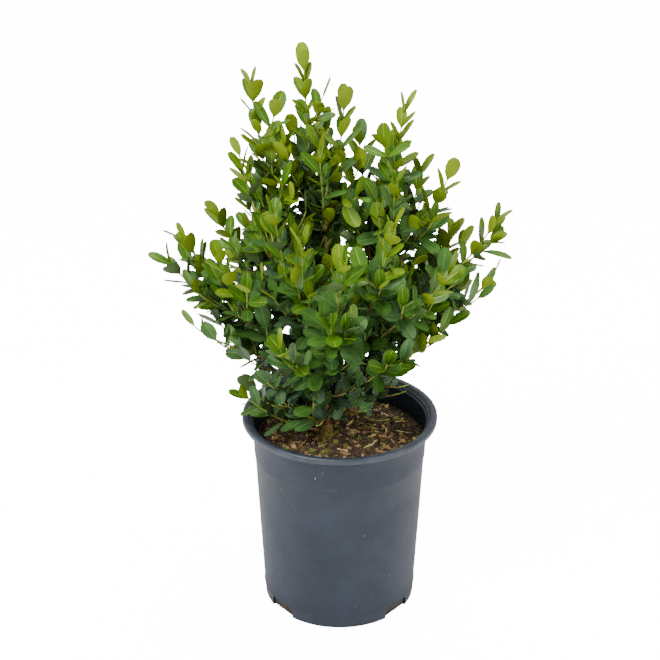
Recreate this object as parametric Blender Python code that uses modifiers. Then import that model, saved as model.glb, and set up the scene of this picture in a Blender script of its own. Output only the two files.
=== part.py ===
"""A young boxwood shrub in a nursery pot: turned pot, root ball, short trunk, boughs and leafy masses."""
import math
import random

import bmesh
import bpy
from mathutils import Matrix, Vector, noise
from mathutils.bvhtree import BVHTree
from mathutils.kdtree import KDTree

# Clearance between neighbouring solids
GAP = 0.0003
UP = Vector((0.0, 0.0, 1.0))

# Pot: a tapered wall with a rolled lip, a stacking step, a foot band and four drain notches
POT_HEIGHT = 0.1800
RIM_RADIUS = 0.0850
LIP_WIDTH = 0.0058
LIP_DROP = 0.0055
SKIRT = 0.0013
WALL_TOP_RADIUS = 0.0767
FOOT_RADIUS = 0.0680
WALL = 0.0011
BASE = 0.0020
STEP_HEIGHT = 0.1420
STEP_DEPTH = 0.0005
BAND_HEIGHT = 0.0110
BAND_DEPTH = 0.0005
CORNER = 0.0009
SHARP = 35.0
POT_SEGMENTS = 24
NOTCH_AZIMUTHS = (-139.5, -40.5, 40.5, 139.5)
NOTCH_WIDTH = 0.0275
NOTCH_HEIGHT = 0.0108
NOTCH_DEPTH = 0.0045

# Root ball: fills the pot to a little below its rim
SOIL_HEIGHT = 0.1560
SOIL_DOME = 0.0012
SOIL_LUMPS = 0.0011
SOIL_SEGMENTS = 24

# Trunk: a flared foot on the soil, a slight lean, a fork just above the rim
FOOT_CENTRE = Vector((-0.0125, -0.0050, SOIL_HEIGHT + SOIL_DOME + GAP))
FORK_CENTRE = Vector((-0.0110, 0.0015, 0.1880))
FLARE_RADIUS = 0.0084
TRUNK_RADIUS = 0.0058
FORK_RADIUS = 0.0050

# Boughs leave the trunk on three tiers: height below the fork, climb in degrees, radius at the base
TIERS = {"fork": (0.0, 68.0, 0.0019), "upper": (0.0065, 34.0, 0.0021), "lower": (0.0160, 26.0, 0.0021)}
FORK_RING = 0.0033
BOUGH_TIP_RADIUS = 0.0014

# name: tier, azimuth of the foot, then azimuth, reach and height of the tip
BOUGHS = {
    "top": ("fork", 150.0, 140.0, 0.0070, 0.262),
    "upper_left": ("fork", -125.0, -150.0, 0.0240, 0.250),
    "upper_right": ("fork", -10.0, 8.0, 0.0240, 0.250),
    "back": ("fork", 72.0, 88.0, 0.0280, 0.246),
    "left": ("upper", 178.0, 178.0, 0.0400, 0.238),
    "front_left": ("upper", -124.0, -118.0, 0.0320, 0.236),
    "front_right": ("upper", -64.0, -58.0, 0.0340, 0.234),
    "right": ("upper", -4.0, -4.0, 0.0400, 0.234),
    "back_right": ("upper", 56.0, 52.0, 0.0380, 0.232),
    "back_left": ("upper", 118.0, 128.0, 0.0380, 0.232),
    "left_low": ("lower", -152.0, -158.0, 0.0400, 0.226),
    "front": ("lower", -92.0, -88.0, 0.0350, 0.216),
    "right_low": ("lower", -32.0, -24.0, 0.0420, 0.220),
}

# name: bough, then the tips of the stem and of its side shoots as azimuth, reach and height
MASSES = {
    "top": ("top", (171.0, 0.019, 0.499), (125.0, 0.052, 0.432), (-176.0, 0.036, 0.421)),
    "upper_middle": ("top", (-12.0, 0.015, 0.468), (-100.0, 0.034, 0.442)),
    "upper_left": ("upper_left", (164.0, 0.066, 0.481), (-178.0, 0.046, 0.424)),
    "left_high": ("upper_left", (-171.0, 0.074, 0.432)),
    "upper_right": ("upper_right", (16.0, 0.067, 0.459), (50.0, 0.040, 0.428)),
    "right_high": ("upper_right", (3.0, 0.104, 0.406), (-20.0, 0.060, 0.410), (22.0, 0.086, 0.400)),
    "right": ("right", (-1.0, 0.146, 0.371), (14.0, 0.112, 0.345)),
    "right_middle": ("right", (-9.0, 0.147, 0.326)),
    "left": ("left", (-178.0, 0.124, 0.354)),
    "left_middle": ("left", (-174.0, 0.138, 0.336), (-168.0, 0.116, 0.312)),
    "left_low": ("left_low", (-157.0, 0.127, 0.294)),
    "left_front": ("left_low", (-152.0, 0.100, 0.352)),
    "left_back": ("back_left", (155.0, 0.110, 0.358)),
    "front_left": ("front_left", (-124.0, 0.076, 0.401)),
    "front_middle": ("front_left", (-101.0, 0.096, 0.384)),
    "front_right": ("front_right", (-57.0, 0.098, 0.392)),
    "front_far_right": ("front_right", (-32.0, 0.122, 0.348)),
    "front": ("front", (-83.0, 0.113, 0.378), (-88.0, 0.116, 0.322)),
    "front_low": ("front", (-110.0, 0.117, 0.302)),
    "front_low_right": ("right_low", (-58.0, 0.096, 0.272), (-72.0, 0.068, 0.240)),
    "right_bottom": ("right_low", (-16.0, 0.114, 0.289), (-5.0, 0.106, 0.266)),
    "back_left": ("back_left", (124.0, 0.118, 0.372), (140.0, 0.112, 0.300)),
    "back": ("back", (94.0, 0.098, 0.408)),
    "back_low": ("back", (98.0, 0.124, 0.318)),
    "back_right": ("back_right", (57.0, 0.112, 0.382)),
    "back_low_right": ("back_right", (40.0, 0.122, 0.306)),
    "low_left": ("trunk", (-164.0, 0.080, 0.213)),
    "low_front": ("trunk", (-101.0, 0.062, 0.246)),
    "low_back": ("trunk", (110.0, 0.088, 0.236)),
}
# Sprigs that leave the trunk itself: azimuth and height of the foot
SPRIG_FEET = {"low_left": (-171.0, 0.1640), "low_front": (-122.0, 0.1735), "low_back": (108.0, 0.1660)}

# Stems and twigs are three-sided
STEM_RADIUS = 0.0013
STEM_TIP_RADIUS = 0.0009
TWIG_RADIUS = 0.0010
PATH_STEP = 0.022
STEM_LIFT = 0.35
SWEEP_PULL = 0.36
TWIG_STEP = 0.020
TRIM_STEP = 0.003
TWIG_LENGTH = 0.046
TWIG_ANGLE = 50.0
TWIG_SPACING = 0.050
TWIG_LIFT = 0.9
SHOOT_START = 0.30
SHORTEST_TWIG = 0.016
GOLDEN_ANGLE = 137.5

# Leaves stand in opposite pairs, each pair turned a quarter from the last
LEAF_LENGTH = 0.0290
LEAF_WIDTH = 0.0160
LEAF_THICKNESS = 0.0008
LEAF_TIP_WIDTH = 0.42
LEAF_WIDEST = 0.50
LEAF_CUP = 0.035
ROOT = 0.0004
INTERNODE = 0.0275
FIRST_LEAF = 0.0135
LEAF_ANGLE = 54.0
LEAF_FITS = ((1.0, 1.0), (0.72, 0.95), (0.5, 0.85), (0.9, 0.7))
END_ANGLE = 24.0
END_LEAF_REACH = 0.0175
CLEARANCE = 0.0005
WELD = 0.0000015
SEAM = 0.00001
TRIES = 12
NUDGE = 0.00013
THINNED = 7


def polar(azimuth, reach, height):
    """A place by azimuth and reach round the fork's axis."""
    angle = math.radians(azimuth)
    across = FORK_CENTRE.x + reach * math.cos(angle)
    return Vector((across, FORK_CENTRE.y + reach * math.sin(angle), height))


def heading(azimuth, climb):
    """A unit vector from an azimuth and a climb in degrees."""
    flat = math.cos(math.radians(climb))
    angle = math.radians(azimuth)
    return Vector((flat * math.cos(angle), flat * math.sin(angle), math.sin(math.radians(climb))))


def sweep(start, start_way, end, end_way, step=PATH_STEP):
    """Points of a smooth path that leaves along one heading and arrives along another."""
    pull = (end - start).length * SWEEP_PULL
    knots = (start, start + start_way * pull, end - end_way * pull, end)
    count = max(3, round((end - start).length / step) + 1)
    points = []
    for index in range(count):
        t = index / (count - 1)
        weights = ((1 - t) ** 3, 3 * t * (1 - t) ** 2, 3 * t * t * (1 - t), t ** 3)
        points.append(sum((knot * weight for knot, weight in zip(knots, weights)), Vector()))
    return points


def path_length(points):
    """Length along a path."""
    return sum((b - a).length for a, b in zip(points, points[1:]))


def along(points, distance):
    """Place and heading at a distance along a path."""
    for a, b in zip(points, points[1:]):
        length = (b - a).length
        if distance <= length or b is points[-1]:
            way = (b - a) / length
            return a + way * distance, way
        distance -= length


def side_frame(way):
    """Two unit vectors square to a heading, the first as level as can be."""
    level = way.cross(UP)
    if level.length < 0.05:
        level = Vector((1.0, 0.0, 0.0)).cross(way)
    level.normalize()
    return level, level.cross(way)


def collection(name):
    """A collection linked to the scene."""
    group = bpy.data.collections.new(name)
    bpy.context.scene.collection.children.link(group)
    return group


def material(name, colour, roughness):
    """A plain Principled material."""
    made = bpy.data.materials.new(name)
    made.use_nodes = True
    shader = made.node_tree.nodes["Principled BSDF"]
    shader.inputs["Base Color"].default_value = (*colour, 1.0)
    shader.inputs["Roughness"].default_value = roughness
    shader.inputs["Metallic"].default_value = 0.0
    return made


def mesh_object(name, group, points, faces):
    """An object from points and faces, its faces turned outwards."""
    mesh = bpy.data.meshes.new(name)
    mesh.from_pydata([tuple(point) for point in points], [], faces)
    shape = bmesh.new()
    shape.from_mesh(mesh)
    bmesh.ops.recalc_face_normals(shape, faces=shape.faces)
    shape.to_mesh(mesh)
    shape.free()
    made = bpy.data.objects.new(name, mesh)
    group.objects.link(made)
    return made


def evaluated_mesh(made):
    """A new mesh with an object's modifiers or curve worked out."""
    graph = bpy.context.evaluated_depsgraph_get()
    return bpy.data.meshes.new_from_object(made.evaluated_get(graph))


def baked(made, group):
    """The evaluated object as a plain welded mesh of the same name, smooth up to its sharp edges."""
    mesh = evaluated_mesh(made)
    name = made.name
    place = made.matrix_world.copy()
    bpy.data.objects.remove(made)
    mesh.name = name
    shape = bmesh.new()
    shape.from_mesh(mesh)
    bmesh.ops.remove_doubles(shape, verts=shape.verts, dist=SEAM)
    bmesh.ops.recalc_face_normals(shape, faces=shape.faces)
    bmesh.ops.triangulate(shape, faces=shape.faces)
    shape.to_mesh(mesh)
    shape.free()
    mesh.shade_smooth()
    mesh.set_sharp_from_angle(angle=math.radians(SHARP))
    plain = bpy.data.objects.new(name, mesh)
    plain.matrix_world = place
    group.objects.link(plain)
    return plain


def turned(name, group, profile, segments):
    """A turned solid: the profile runs up the inside, over the top and down the outside."""
    mesh = bpy.data.meshes.new(name)
    mesh.from_pydata([(r, 0.0, z) for r, z in profile], [(i, i + 1) for i in range(len(profile) - 1)], [])
    made = bpy.data.objects.new(name, mesh)
    group.objects.link(made)
    screw = made.modifiers.new("Turn", "SCREW")
    screw.steps = segments
    screw.render_steps = segments
    screw.use_merge_vertices = True
    screw.merge_threshold = SEAM
    return made


def tube(name, group, points, radii, profile=None, rounding=1):
    """A tapering limb along a path, round unless a profile is given."""
    curve = bpy.data.curves.new(name, "CURVE")
    curve.dimensions = "3D"
    curve.twist_mode = "MINIMUM"
    curve.use_fill_caps = True
    if profile is None:
        curve.bevel_depth = 1.0
        curve.bevel_resolution = rounding
    else:
        curve.bevel_mode = "OBJECT"
        curve.bevel_object = profile
    spline = curve.splines.new("POLY")
    spline.points.add(len(points) - 1)
    for knot, point, radius in zip(spline.points, points, radii):
        knot.co = (*point, 1.0)
        knot.radius = radius
    made = bpy.data.objects.new(name, curve)
    group.objects.link(made)
    return baked(made, group)


def taper(points, start, end):
    """Radii that shrink evenly along a path."""
    last = len(points) - 1
    return [start + (end - start) * index / last for index in range(len(points))]


def wall_radius(height):
    """Outer radius of the pot's wall."""
    radius = FOOT_RADIUS + (WALL_TOP_RADIUS - FOOT_RADIUS) * height / POT_HEIGHT
    if height < STEP_HEIGHT:
        radius -= STEP_DEPTH
    return radius


def pot_profile():
    """Inside from the middle of the base up, over the lip, then down the outside to the middle."""
    lip = RIM_RADIUS - LIP_WIDTH
    under = POT_HEIGHT - LIP_DROP
    inner_top = POT_HEIGHT - 0.0060
    return [
        (0.0, BASE),
        (wall_radius(BASE) - WALL - CORNER, BASE),
        (wall_radius(BASE) - WALL, BASE + CORNER),
        (wall_radius(inner_top) - WALL, inner_top),
        (lip, POT_HEIGHT - 0.0010),
        (RIM_RADIUS - 0.0020, POT_HEIGHT),
        (RIM_RADIUS, POT_HEIGHT - 0.0018),
        (RIM_RADIUS - 0.0004, under),
        (RIM_RADIUS - SKIRT, under),
        (RIM_RADIUS - SKIRT - 0.0003, POT_HEIGHT - 0.0024),
        (wall_radius(under) + 0.0004, POT_HEIGHT - 0.0032),
        (wall_radius(STEP_HEIGHT), STEP_HEIGHT + 0.0010),
        (wall_radius(STEP_HEIGHT) - STEP_DEPTH, STEP_HEIGHT - 0.0006),
        (wall_radius(BAND_HEIGHT) + BAND_DEPTH, BAND_HEIGHT + 0.0004),
        (wall_radius(BAND_HEIGHT), BAND_HEIGHT - 0.0004),
        (FOOT_RADIUS - STEP_DEPTH, CORNER),
        (FOOT_RADIUS - STEP_DEPTH - CORNER, 0.0),
        (0.0, 0.0),
    ]


def build_pot(group, cutters):
    """The pot, with a drain notch cut through the corner of its foot four times."""
    pot = turned("pot", group, pot_profile(), POT_SEGMENTS)
    inner = FOOT_RADIUS - NOTCH_DEPTH
    for index, azimuth in enumerate(NOTCH_AZIMUTHS):
        bpy.ops.mesh.primitive_cube_add(size=1.0)
        cutter = bpy.context.object
        cutter.name = f"notch_{index}"
        cutter.data.transform(Matrix.Diagonal((0.014, NOTCH_WIDTH, NOTCH_HEIGHT + 0.002, 1.0)))
        cutter.data.transform(Matrix.Translation((inner + 0.007, 0.0, NOTCH_HEIGHT / 2 - 0.001)))
        shape = bmesh.new()
        shape.from_mesh(cutter.data)
        top = [e for e in shape.edges if all(v.co.z > NOTCH_HEIGHT / 2 for v in e.verts)]
        across = [e for e in top if abs(e.verts[0].co.y - e.verts[1].co.y) < 0.0001]
        bmesh.ops.bevel(shape, geom=across, offset=0.003, segments=2, profile=0.5, affect="EDGES")
        shape.to_mesh(cutter.data)
        shape.free()
        cutter.rotation_euler = (0.0, 0.0, math.radians(azimuth))
        for owner in list(cutter.users_collection):
            owner.objects.unlink(cutter)
        cutters.objects.link(cutter)
        cutter.hide_render = True
        cutter.display_type = "WIRE"
        cut = pot.modifiers.new(f"Notch {index}", "BOOLEAN")
        cut.operation = "DIFFERENCE"
        cut.object = cutter
    return pot


def build_root_ball(group):
    """The filled pot's root ball, with a low uneven top that is level under the trunk."""
    top = SOIL_HEIGHT
    foot = BASE + GAP
    edge = wall_radius(top) - WALL - STEP_DEPTH - GAP
    rings = [(edge * part, top + SOIL_DOME * (1 - part * part)) for part in (0.0, 0.2, 0.45, 0.72)]
    rings += [(edge, top), (wall_radius(foot) - WALL - CORNER - GAP - 0.0006, foot + CORNER), ]
    rings += [(wall_radius(foot) - WALL - 2.2 * CORNER - GAP, foot), (0.0, foot)]
    ball = baked(turned("root_ball", group, rings, SOIL_SEGMENTS), group)
    for vertex in ball.data.vertices:
        place = vertex.co
        radius = math.hypot(place.x, place.y)
        if place.z > top - 0.002 and radius < edge * 0.98:
            away = (place.xy - FOOT_CENTRE.xy).length
            share = min(1.0, max(0.0, (away - 0.012) / 0.012))
            place.z += SOIL_LUMPS * share * noise.noise(place * 55.0)
            place.z = min(place.z, FOOT_CENTRE.z - GAP)
    return ball


def trunk_centre(height):
    """Centre of the trunk at a height."""
    share = (height - FOOT_CENTRE.z) / (FORK_CENTRE.z - FOOT_CENTRE.z)
    return FOOT_CENTRE.lerp(FORK_CENTRE, share)


def trunk_radius(height):
    """The trunk flares at its foot and thins to the fork."""
    share = (height - FOOT_CENTRE.z) / (FORK_CENTRE.z - FOOT_CENTRE.z)
    flare = (FLARE_RADIUS - TRUNK_RADIUS) * math.exp(-share * 7.0)
    return TRUNK_RADIUS + (FORK_RADIUS - TRUNK_RADIUS) * share + flare


def build_trunk(group):
    """A short trunk from a flat cut at the soil to a level fork."""
    rise = FORK_CENTRE.z - FOOT_CENTRE.z
    heights = [FOOT_CENTRE.z + rise * part for part in (0, 0.1, 0.25, 0.5, 0.8, 1)]
    points = [trunk_centre(height) for height in heights]
    radii = [trunk_radius(height) for height in heights]
    trunk = tube("trunk", group, points, radii, rounding=2)
    for vertex in trunk.data.vertices:
        if vertex.co.z < FOOT_CENTRE.z + 0.0025:
            vertex.co.z = FOOT_CENTRE.z
        elif vertex.co.z > FORK_CENTRE.z - 0.0020:
            vertex.co.z = FORK_CENTRE.z
    return trunk


def trunk_side(height, out):
    """How far the trunk's side stands out along a level heading, at a height."""
    return trunk_centre(height).dot(out) + trunk_radius(height)


def bough_path(name):
    """A bough climbs from its place on the trunk to its tip."""
    tier, foot_azimuth, azimuth, reach, height = BOUGHS[name]
    drop, climb, radius = TIERS[tier]
    way = heading(foot_azimuth, climb)
    out = heading(foot_azimuth, 0.0)
    foot_height = FORK_CENTRE.z - drop
    if tier == "fork":
        foot = FORK_CENTRE + out * FORK_RING
        foot.z += GAP + radius * math.cos(math.radians(climb))
    else:
        lean = radius * math.sin(math.radians(climb))
        swell = max(trunk_side(foot_height + rise, out) for rise in (-radius, 0.0, radius))
        foot = Vector((0.0, 0.0, foot_height)) + out * (swell + GAP + lean)
        foot += trunk_centre(foot_height) * Vector((1.0, 1.0, 0.0)) - out * trunk_centre(foot_height).dot(out)
    tip = polar(azimuth, reach, height)
    arrive = ((tip - foot).normalized() + UP * STEM_LIFT).normalized()
    return sweep(foot, way, tip, arrive)


def stem_paths(name, boughs):
    """The stem of a mass and the side shoots that leave it."""
    home, *tips = MASSES[name]
    end = polar(*tips[0])
    if home == "trunk":
        azimuth, height = SPRIG_FEET[name]
        way = heading(azimuth, 12.0)
        away = trunk_radius(height) + GAP + STEM_RADIUS * 0.5
        start = trunk_centre(height) + heading(azimuth, 0.0) * away
    else:
        limb = boughs[home]
        limb_way = (limb[-1] - limb[-2]).normalized()
        toward = (end - limb[-1]).normalized()
        way = (limb_way + toward).normalized()
        sharers = [polar(*row[1]) - limb[-1] for row in MASSES.values() if row[0] == home]
        middle = sum((sharer.normalized() for sharer in sharers), Vector()) / len(sharers)
        aside = toward - middle
        aside -= limb_way * aside.dot(limb_way)
        aside = aside.normalized() if len(sharers) > 1 else Vector()
        tilt = math.sqrt(max(0.0, 1.0 - way.dot(limb_way) ** 2))
        start = limb[-1] + limb_way * (GAP + STEM_RADIUS * tilt) + aside * (STEM_RADIUS + GAP)
    arrive = ((end - start).normalized() + UP * STEM_LIFT).normalized()
    paths = [sweep(start, way, end - arrive * END_LEAF_REACH, arrive)]
    for index, tip in enumerate(tips[1:]):
        leave = path_length(paths[0]) * (SHOOT_START + 0.12 * index)
        place, stem_way = along(paths[0], leave)
        target = polar(*tip)
        toward = (target - place).normalized()
        arrive = (toward + UP * STEM_LIFT).normalized()
        leave_way = (stem_way + toward * 1.5).normalized()
        paths.append(sweep(place, leave_way, target - arrive * END_LEAF_REACH, arrive))
    return paths


def side_twigs(name, paths):
    """Short twigs that leave the stem and its shoots by a seeded rule."""
    twigs = []
    furthest = MASSES[name.removeprefix("foliage_")][1][1] - END_LEAF_REACH * 0.8
    for order, path in enumerate(paths):
        length = path_length(path)
        for index in range(int(length / TWIG_SPACING)):
            share = (index + 0.45) * TWIG_SPACING / length
            chance = random.Random(f"{name} {order} {index}")
            place, way = along(path, length * share)
            level, rise = side_frame(way)
            turn = GOLDEN_ANGLE * (index + 3 * order) + chance.uniform(0.0, 60.0) + 40.0 * len(name)
            turn = math.radians(turn)
            aside = level * math.cos(turn) + rise * math.sin(turn)
            aside.z = max(aside.z, -0.15)
            angle = math.radians(TWIG_ANGLE + chance.uniform(-8.0, 8.0))
            leave = (way * math.cos(angle) + aside.normalized() * math.sin(angle)).normalized()
            length_here = TWIG_LENGTH * (1.0 - 0.35 * share) * chance.uniform(0.85, 1.15)
            arrive = (leave + way * 0.4 + UP * TWIG_LIFT).normalized()
            end = place + (leave * 0.6 + arrive * 0.4).normalized() * length_here
            out = end - FORK_CENTRE
            out.z = 0.0
            if out.length > furthest:
                end -= out.normalized() * (out.length - furthest)
            twigs.append(sweep(place, leave, end, arrive, step=TWIG_STEP))
    return twigs


def spaces(paths_of):
    """For each mass, a tree of points on its own shoots and one on all the others."""
    samples = {}
    for name, paths in paths_of.items():
        samples[name] = []
        for path in paths:
            length = path_length(path)
            count = max(2, round(length / 0.004))
            samples[name] += [along(path, length * i / count)[0] for i in range(count + 1)]
    trees = {}
    for name, own in samples.items():
        others = [point for other, points in samples.items() if other != name for point in points]
        pair = []
        for points in (own, others):
            tree = KDTree(len(points))
            for index, point in enumerate(points):
                tree.insert(point, index)
            tree.balance()
            pair.append(tree)
        trees[name] = pair
    return trees


def inside(point, space):
    """Whether a point keeps to its mass's space, nearer its own shoots than any others."""
    own, others = space
    near = own.find(point)[2]
    return near + CLEARANCE < others.find(point)[2]


def leaf_points(length, width, grow=0.0):
    """A leaf along +X, its upper side +Z: a pointed root, a wide keeled middle and a blunt tip."""
    half = width / 2 + grow
    tip = width / 2 * LEAF_TIP_WIDTH + grow
    middle = length * LEAF_WIDEST
    cup = length * LEAF_CUP
    return [
        (-ROOT, 0.0, 0.0),
        (middle, half, cup + grow), (middle, -half, cup + grow), (middle, 0.0, -LEAF_THICKNESS - grow),
        (length + grow, tip, -cup * 0.4), (length + grow, -tip, -cup * 0.4),
    ]


LEAF_FACES = [(0, 1, 2), (0, 2, 3), (0, 3, 1), (1, 4, 5), (1, 5, 2), (2, 5, 3), (5, 4, 3), (4, 1, 3)]


def leaf_frame(place, way, turn, angle, roll):
    """Where a leaf sits: its root on the twig's axis, its upper side towards the twig's end."""
    level, rise = side_frame(way)
    aside = level * math.cos(turn) + rise * math.sin(turn)
    out = (way * math.cos(angle) + aside * math.sin(angle)).normalized()
    face = way - out * way.dot(out)
    face = face.normalized() + UP * 0.35 + level * roll
    face = (face - out * face.dot(out)).normalized()
    across = face.cross(out)
    frame = Matrix((out, across, face)).transposed().to_4x4()
    frame.translation = place
    return frame


def leaf_places(path, chance, first):
    """Place, heading, turn, angle, roll and size of each leaf in the pairs along a twig."""
    length = path_length(path)
    count = max(1, round((length - first) / INTERNODE))
    turn = chance.uniform(0.0, math.pi)
    for index in range(count + 1):
        share = index / count
        place, way = along(path, first + (length - first) * share * 0.985)
        angle = math.radians(LEAF_ANGLE + (END_ANGLE - LEAF_ANGLE) * share ** 3)
        for side in (0.0, math.pi):
            spread = angle + math.radians(chance.uniform(-8.0, 8.0))
            size = LEAF_LENGTH * (1.0 - 0.22 * share ** 3) * chance.uniform(0.9, 1.08)
            around = turn + side + index * math.pi / 2 + chance.uniform(-0.2, 0.2)
            yield place, way, around, spread, chance.uniform(-0.25, 0.25), size


def fitted_leaf(place, way, turn, angle, roll, size, space, trees, blades):
    """A leaf's points, folded towards its twig or made smaller until it keeps to its space, or None."""
    for fold, shrink in LEAF_FITS:
        frame = leaf_frame(place, way, turn, angle * fold, roll)
        length = size * shrink
        width = LEAF_WIDTH * length / LEAF_LENGTH
        points = [frame @ Vector(point) for point in leaf_points(length, width)]
        room = [frame @ Vector(point) for point in leaf_points(length, width, CLEARANCE)]
        if not all(inside(point, space) for point in room[1:]):
            continue
        blade = [frame @ Vector((0.004, 0.0, 0.0)), *points[1:]]
        if keeps_clear(room, LEAF_FACES, trees) and keeps_clear(blade, LEAF_FACES, blades):
            blades.append(BVHTree.FromPolygons([tuple(point) for point in blade], LEAF_FACES))
            return points
    return None


def keeps_clear(points, faces, trees):
    """Whether a body stays clear of the trees of triangles."""
    body = BVHTree.FromPolygons([tuple(point) for point in points], faces)
    return not any(body.overlap(tree) for tree in trees)


def tree_of(mesh):
    """A finished mesh as a tree of faces, for clearance tests."""
    points = [tuple(vertex.co) for vertex in mesh.vertices]
    return BVHTree.FromPolygons(points, [tuple(face.vertices) for face in mesh.polygons])


def fused(name, bodies, group):
    """One solid from a stem, its twigs and its leaves, and whether it is closed."""
    stem, *others = bodies.objects
    for body in others:
        bodies.objects.unlink(body)
    rest = bpy.data.collections.new("rest")
    for body in others:
        rest.objects.link(body)
    join = stem.modifiers.new("Join", "BOOLEAN")
    join.operation = "UNION"
    join.operand_type = "COLLECTION"
    join.collection = rest
    join.solver = "MANIFOLD"
    mesh = evaluated_mesh(stem)
    for body in (stem, *others):
        bpy.data.objects.remove(body)
    bpy.data.collections.remove(rest)
    closed = tidied(mesh, True) or tidied(mesh, False)
    mesh.name = name
    made = bpy.data.objects.new(name, mesh)
    group.objects.link(made)
    return made, closed


def tidied(mesh, collapse):
    """Make a union plain triangles, its thinnest ones collapsed or not, if that leaves it closed."""
    shape = bmesh.new()
    shape.from_mesh(mesh)
    bmesh.ops.triangulate(shape, faces=shape.faces)
    if collapse:
        bmesh.ops.remove_doubles(shape, verts=shape.verts, dist=WELD)
        bmesh.ops.dissolve_degenerate(shape, edges=shape.edges, dist=WELD)
        bmesh.ops.triangulate(shape, faces=shape.faces)
    keep_largest(shape)
    probe = shape.copy()
    bmesh.ops.remove_doubles(probe, verts=probe.verts, dist=WELD)
    closed = all(len(edge.link_faces) == 2 for edge in probe.edges)
    probe.free()
    if closed:
        shape.to_mesh(mesh)
    shape.free()
    return closed


def keep_largest(shape):
    """Drop every separate body of a bmesh but the one with the most faces."""
    left = set(shape.faces)
    bodies = []
    while left:
        seed = left.pop()
        body = {seed}
        edge_of = [seed]
        while edge_of:
            face = edge_of.pop()
            for edge in face.edges:
                for other in edge.link_faces:
                    if other in left:
                        left.discard(other)
                        body.add(other)
                        edge_of.append(other)
        bodies.append(body)
    bodies.sort(key=len)
    for body in bodies[:-1]:
        bmesh.ops.delete(shape, geom=list(body), context="FACES")
    loose = [vertex for vertex in shape.verts if not vertex.link_faces]
    bmesh.ops.delete(shape, geom=loose, context="VERTS")


def trimmed(path, space, trees):
    """The part of a twig's path that keeps to its space, or None when that is too short."""
    length = path_length(path)
    good = 0.0
    distance = TRIM_STEP
    while distance <= length:
        point = along(path, distance)[0]
        clear = all(tree.find_nearest(point)[3] > TWIG_RADIUS * 2 + CLEARANCE for tree in trees)
        if not inside(point, space) or not clear:
            break
        good = distance
        distance += TRIM_STEP
    if good < SHORTEST_TWIG:
        return None
    count = max(3, round(good / TWIG_STEP) + 1)
    return [along(path, good * index / (count - 1))[0] for index in range(count)]


def build_mass(name, paths, space, trees, group, work, profile):
    """One leafy mass, with its leaves moved a hair along their twigs where the union leaves a flaw."""
    for attempt in range(TRIES):
        made, closed = grow_mass(name, paths, space, trees, group, work, profile, attempt)
        if closed:
            return made
        bpy.data.objects.remove(made)
    raise ValueError(f"{name} has no closed union")


def grow_mass(name, paths, space, trees, group, work, profile, attempt):
    """A stem, its side shoots, twigs and pairs of leaves, fused."""
    nudge = attempt * NUDGE
    radii = taper(paths[0], STEM_RADIUS, STEM_TIP_RADIUS)
    tube(f"{name} stem", work, paths[0], radii, profile)
    shoots = [(paths[0], FIRST_LEAF + nudge)]
    for index, path in enumerate(paths[1:] + side_twigs(name, paths)):
        path = trimmed(path, space, trees)
        if path is None:
            continue
        tube(f"{name} twig {index}", work, path, taper(path, TWIG_RADIUS, STEM_TIP_RADIUS), profile)
        shoots.append((path, FIRST_LEAF + nudge))
    count = 0
    blades = []
    for order, (path, first) in enumerate(shoots):
        chance = random.Random(f"{name} leaves {order}")
        for index, leaf in enumerate(leaf_places(path, chance, first)):
            if attempt > 1 and (index + order) % THINNED == attempt % THINNED:
                continue
            points = fitted_leaf(*leaf, space, trees, blades)
            if points:
                mesh_object(f"{name} leaf {count}", work, points, LEAF_FACES)
                count += 1
    return fused(name, work, group)


def twig_profile(group):
    """The three-sided outline that stems and twigs are drawn out of."""
    curve = bpy.data.curves.new("twig_profile", "CURVE")
    curve.dimensions = "2D"
    spline = curve.splines.new("POLY")
    spline.points.add(2)
    for index, knot in enumerate(spline.points):
        angle = math.radians(90 + 120 * index)
        knot.co = (math.cos(angle), math.sin(angle), 0.0, 1.0)
    spline.use_cyclic_u = True
    profile = bpy.data.objects.new("twig_profile", curve)
    group.objects.link(profile)
    profile.hide_render = True
    return profile


def main():
    for made in list(bpy.data.objects):
        bpy.data.objects.remove(made)
    parts = collection("potted_boxwood")
    cutters = collection("cutters")
    work = collection("work")

    plastic = material("pot_plastic", (0.085, 0.105, 0.135), 0.45)
    soil = material("potting_soil", (0.045, 0.026, 0.016), 0.95)
    bark = material("boxwood_bark", (0.30, 0.20, 0.07), 0.80)
    leaf = material("boxwood_leaf", (0.08, 0.19, 0.02), 0.45)

    pot = build_pot(parts, cutters)
    pot.data.materials.append(plastic)
    ball = build_root_ball(parts)
    ball.data.materials.append(soil)
    trunk = build_trunk(parts)
    trunk.data.materials.append(bark)

    profile = twig_profile(cutters)
    boughs = {name: bough_path(name) for name in BOUGHS}
    limbs = [trunk]
    for name, path in boughs.items():
        radius = TIERS[BOUGHS[name][0]][2]
        limb = tube(f"bough_{name}", parts, path, taper(path, radius, BOUGH_TIP_RADIUS))
        limb.data.materials.append(bark)
        limbs.append(limb)

    paths_of = {name: stem_paths(name, boughs) for name in MASSES}
    space_of = spaces(paths_of)
    pot_mesh = evaluated_mesh(pot)
    trees = [tree_of(mesh) for mesh in (pot_mesh, ball.data, *(limb.data for limb in limbs))]
    bpy.data.meshes.remove(pot_mesh)
    for name, paths in paths_of.items():
        mass = build_mass(f"foliage_{name}", paths, space_of[name], trees, parts, work, profile)
        mass.data.materials.append(leaf)
        trees.append(tree_of(mass.data))
    bpy.data.collections.remove(work)


main()
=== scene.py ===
"""A young boxwood in its nursery pot: leafy shoots, rough stems, potting soil and dusty plastic."""
import itertools
import math
import random

import bmesh
import bpy
import numpy as np
from mathutils import Matrix, Vector, noise


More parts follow.
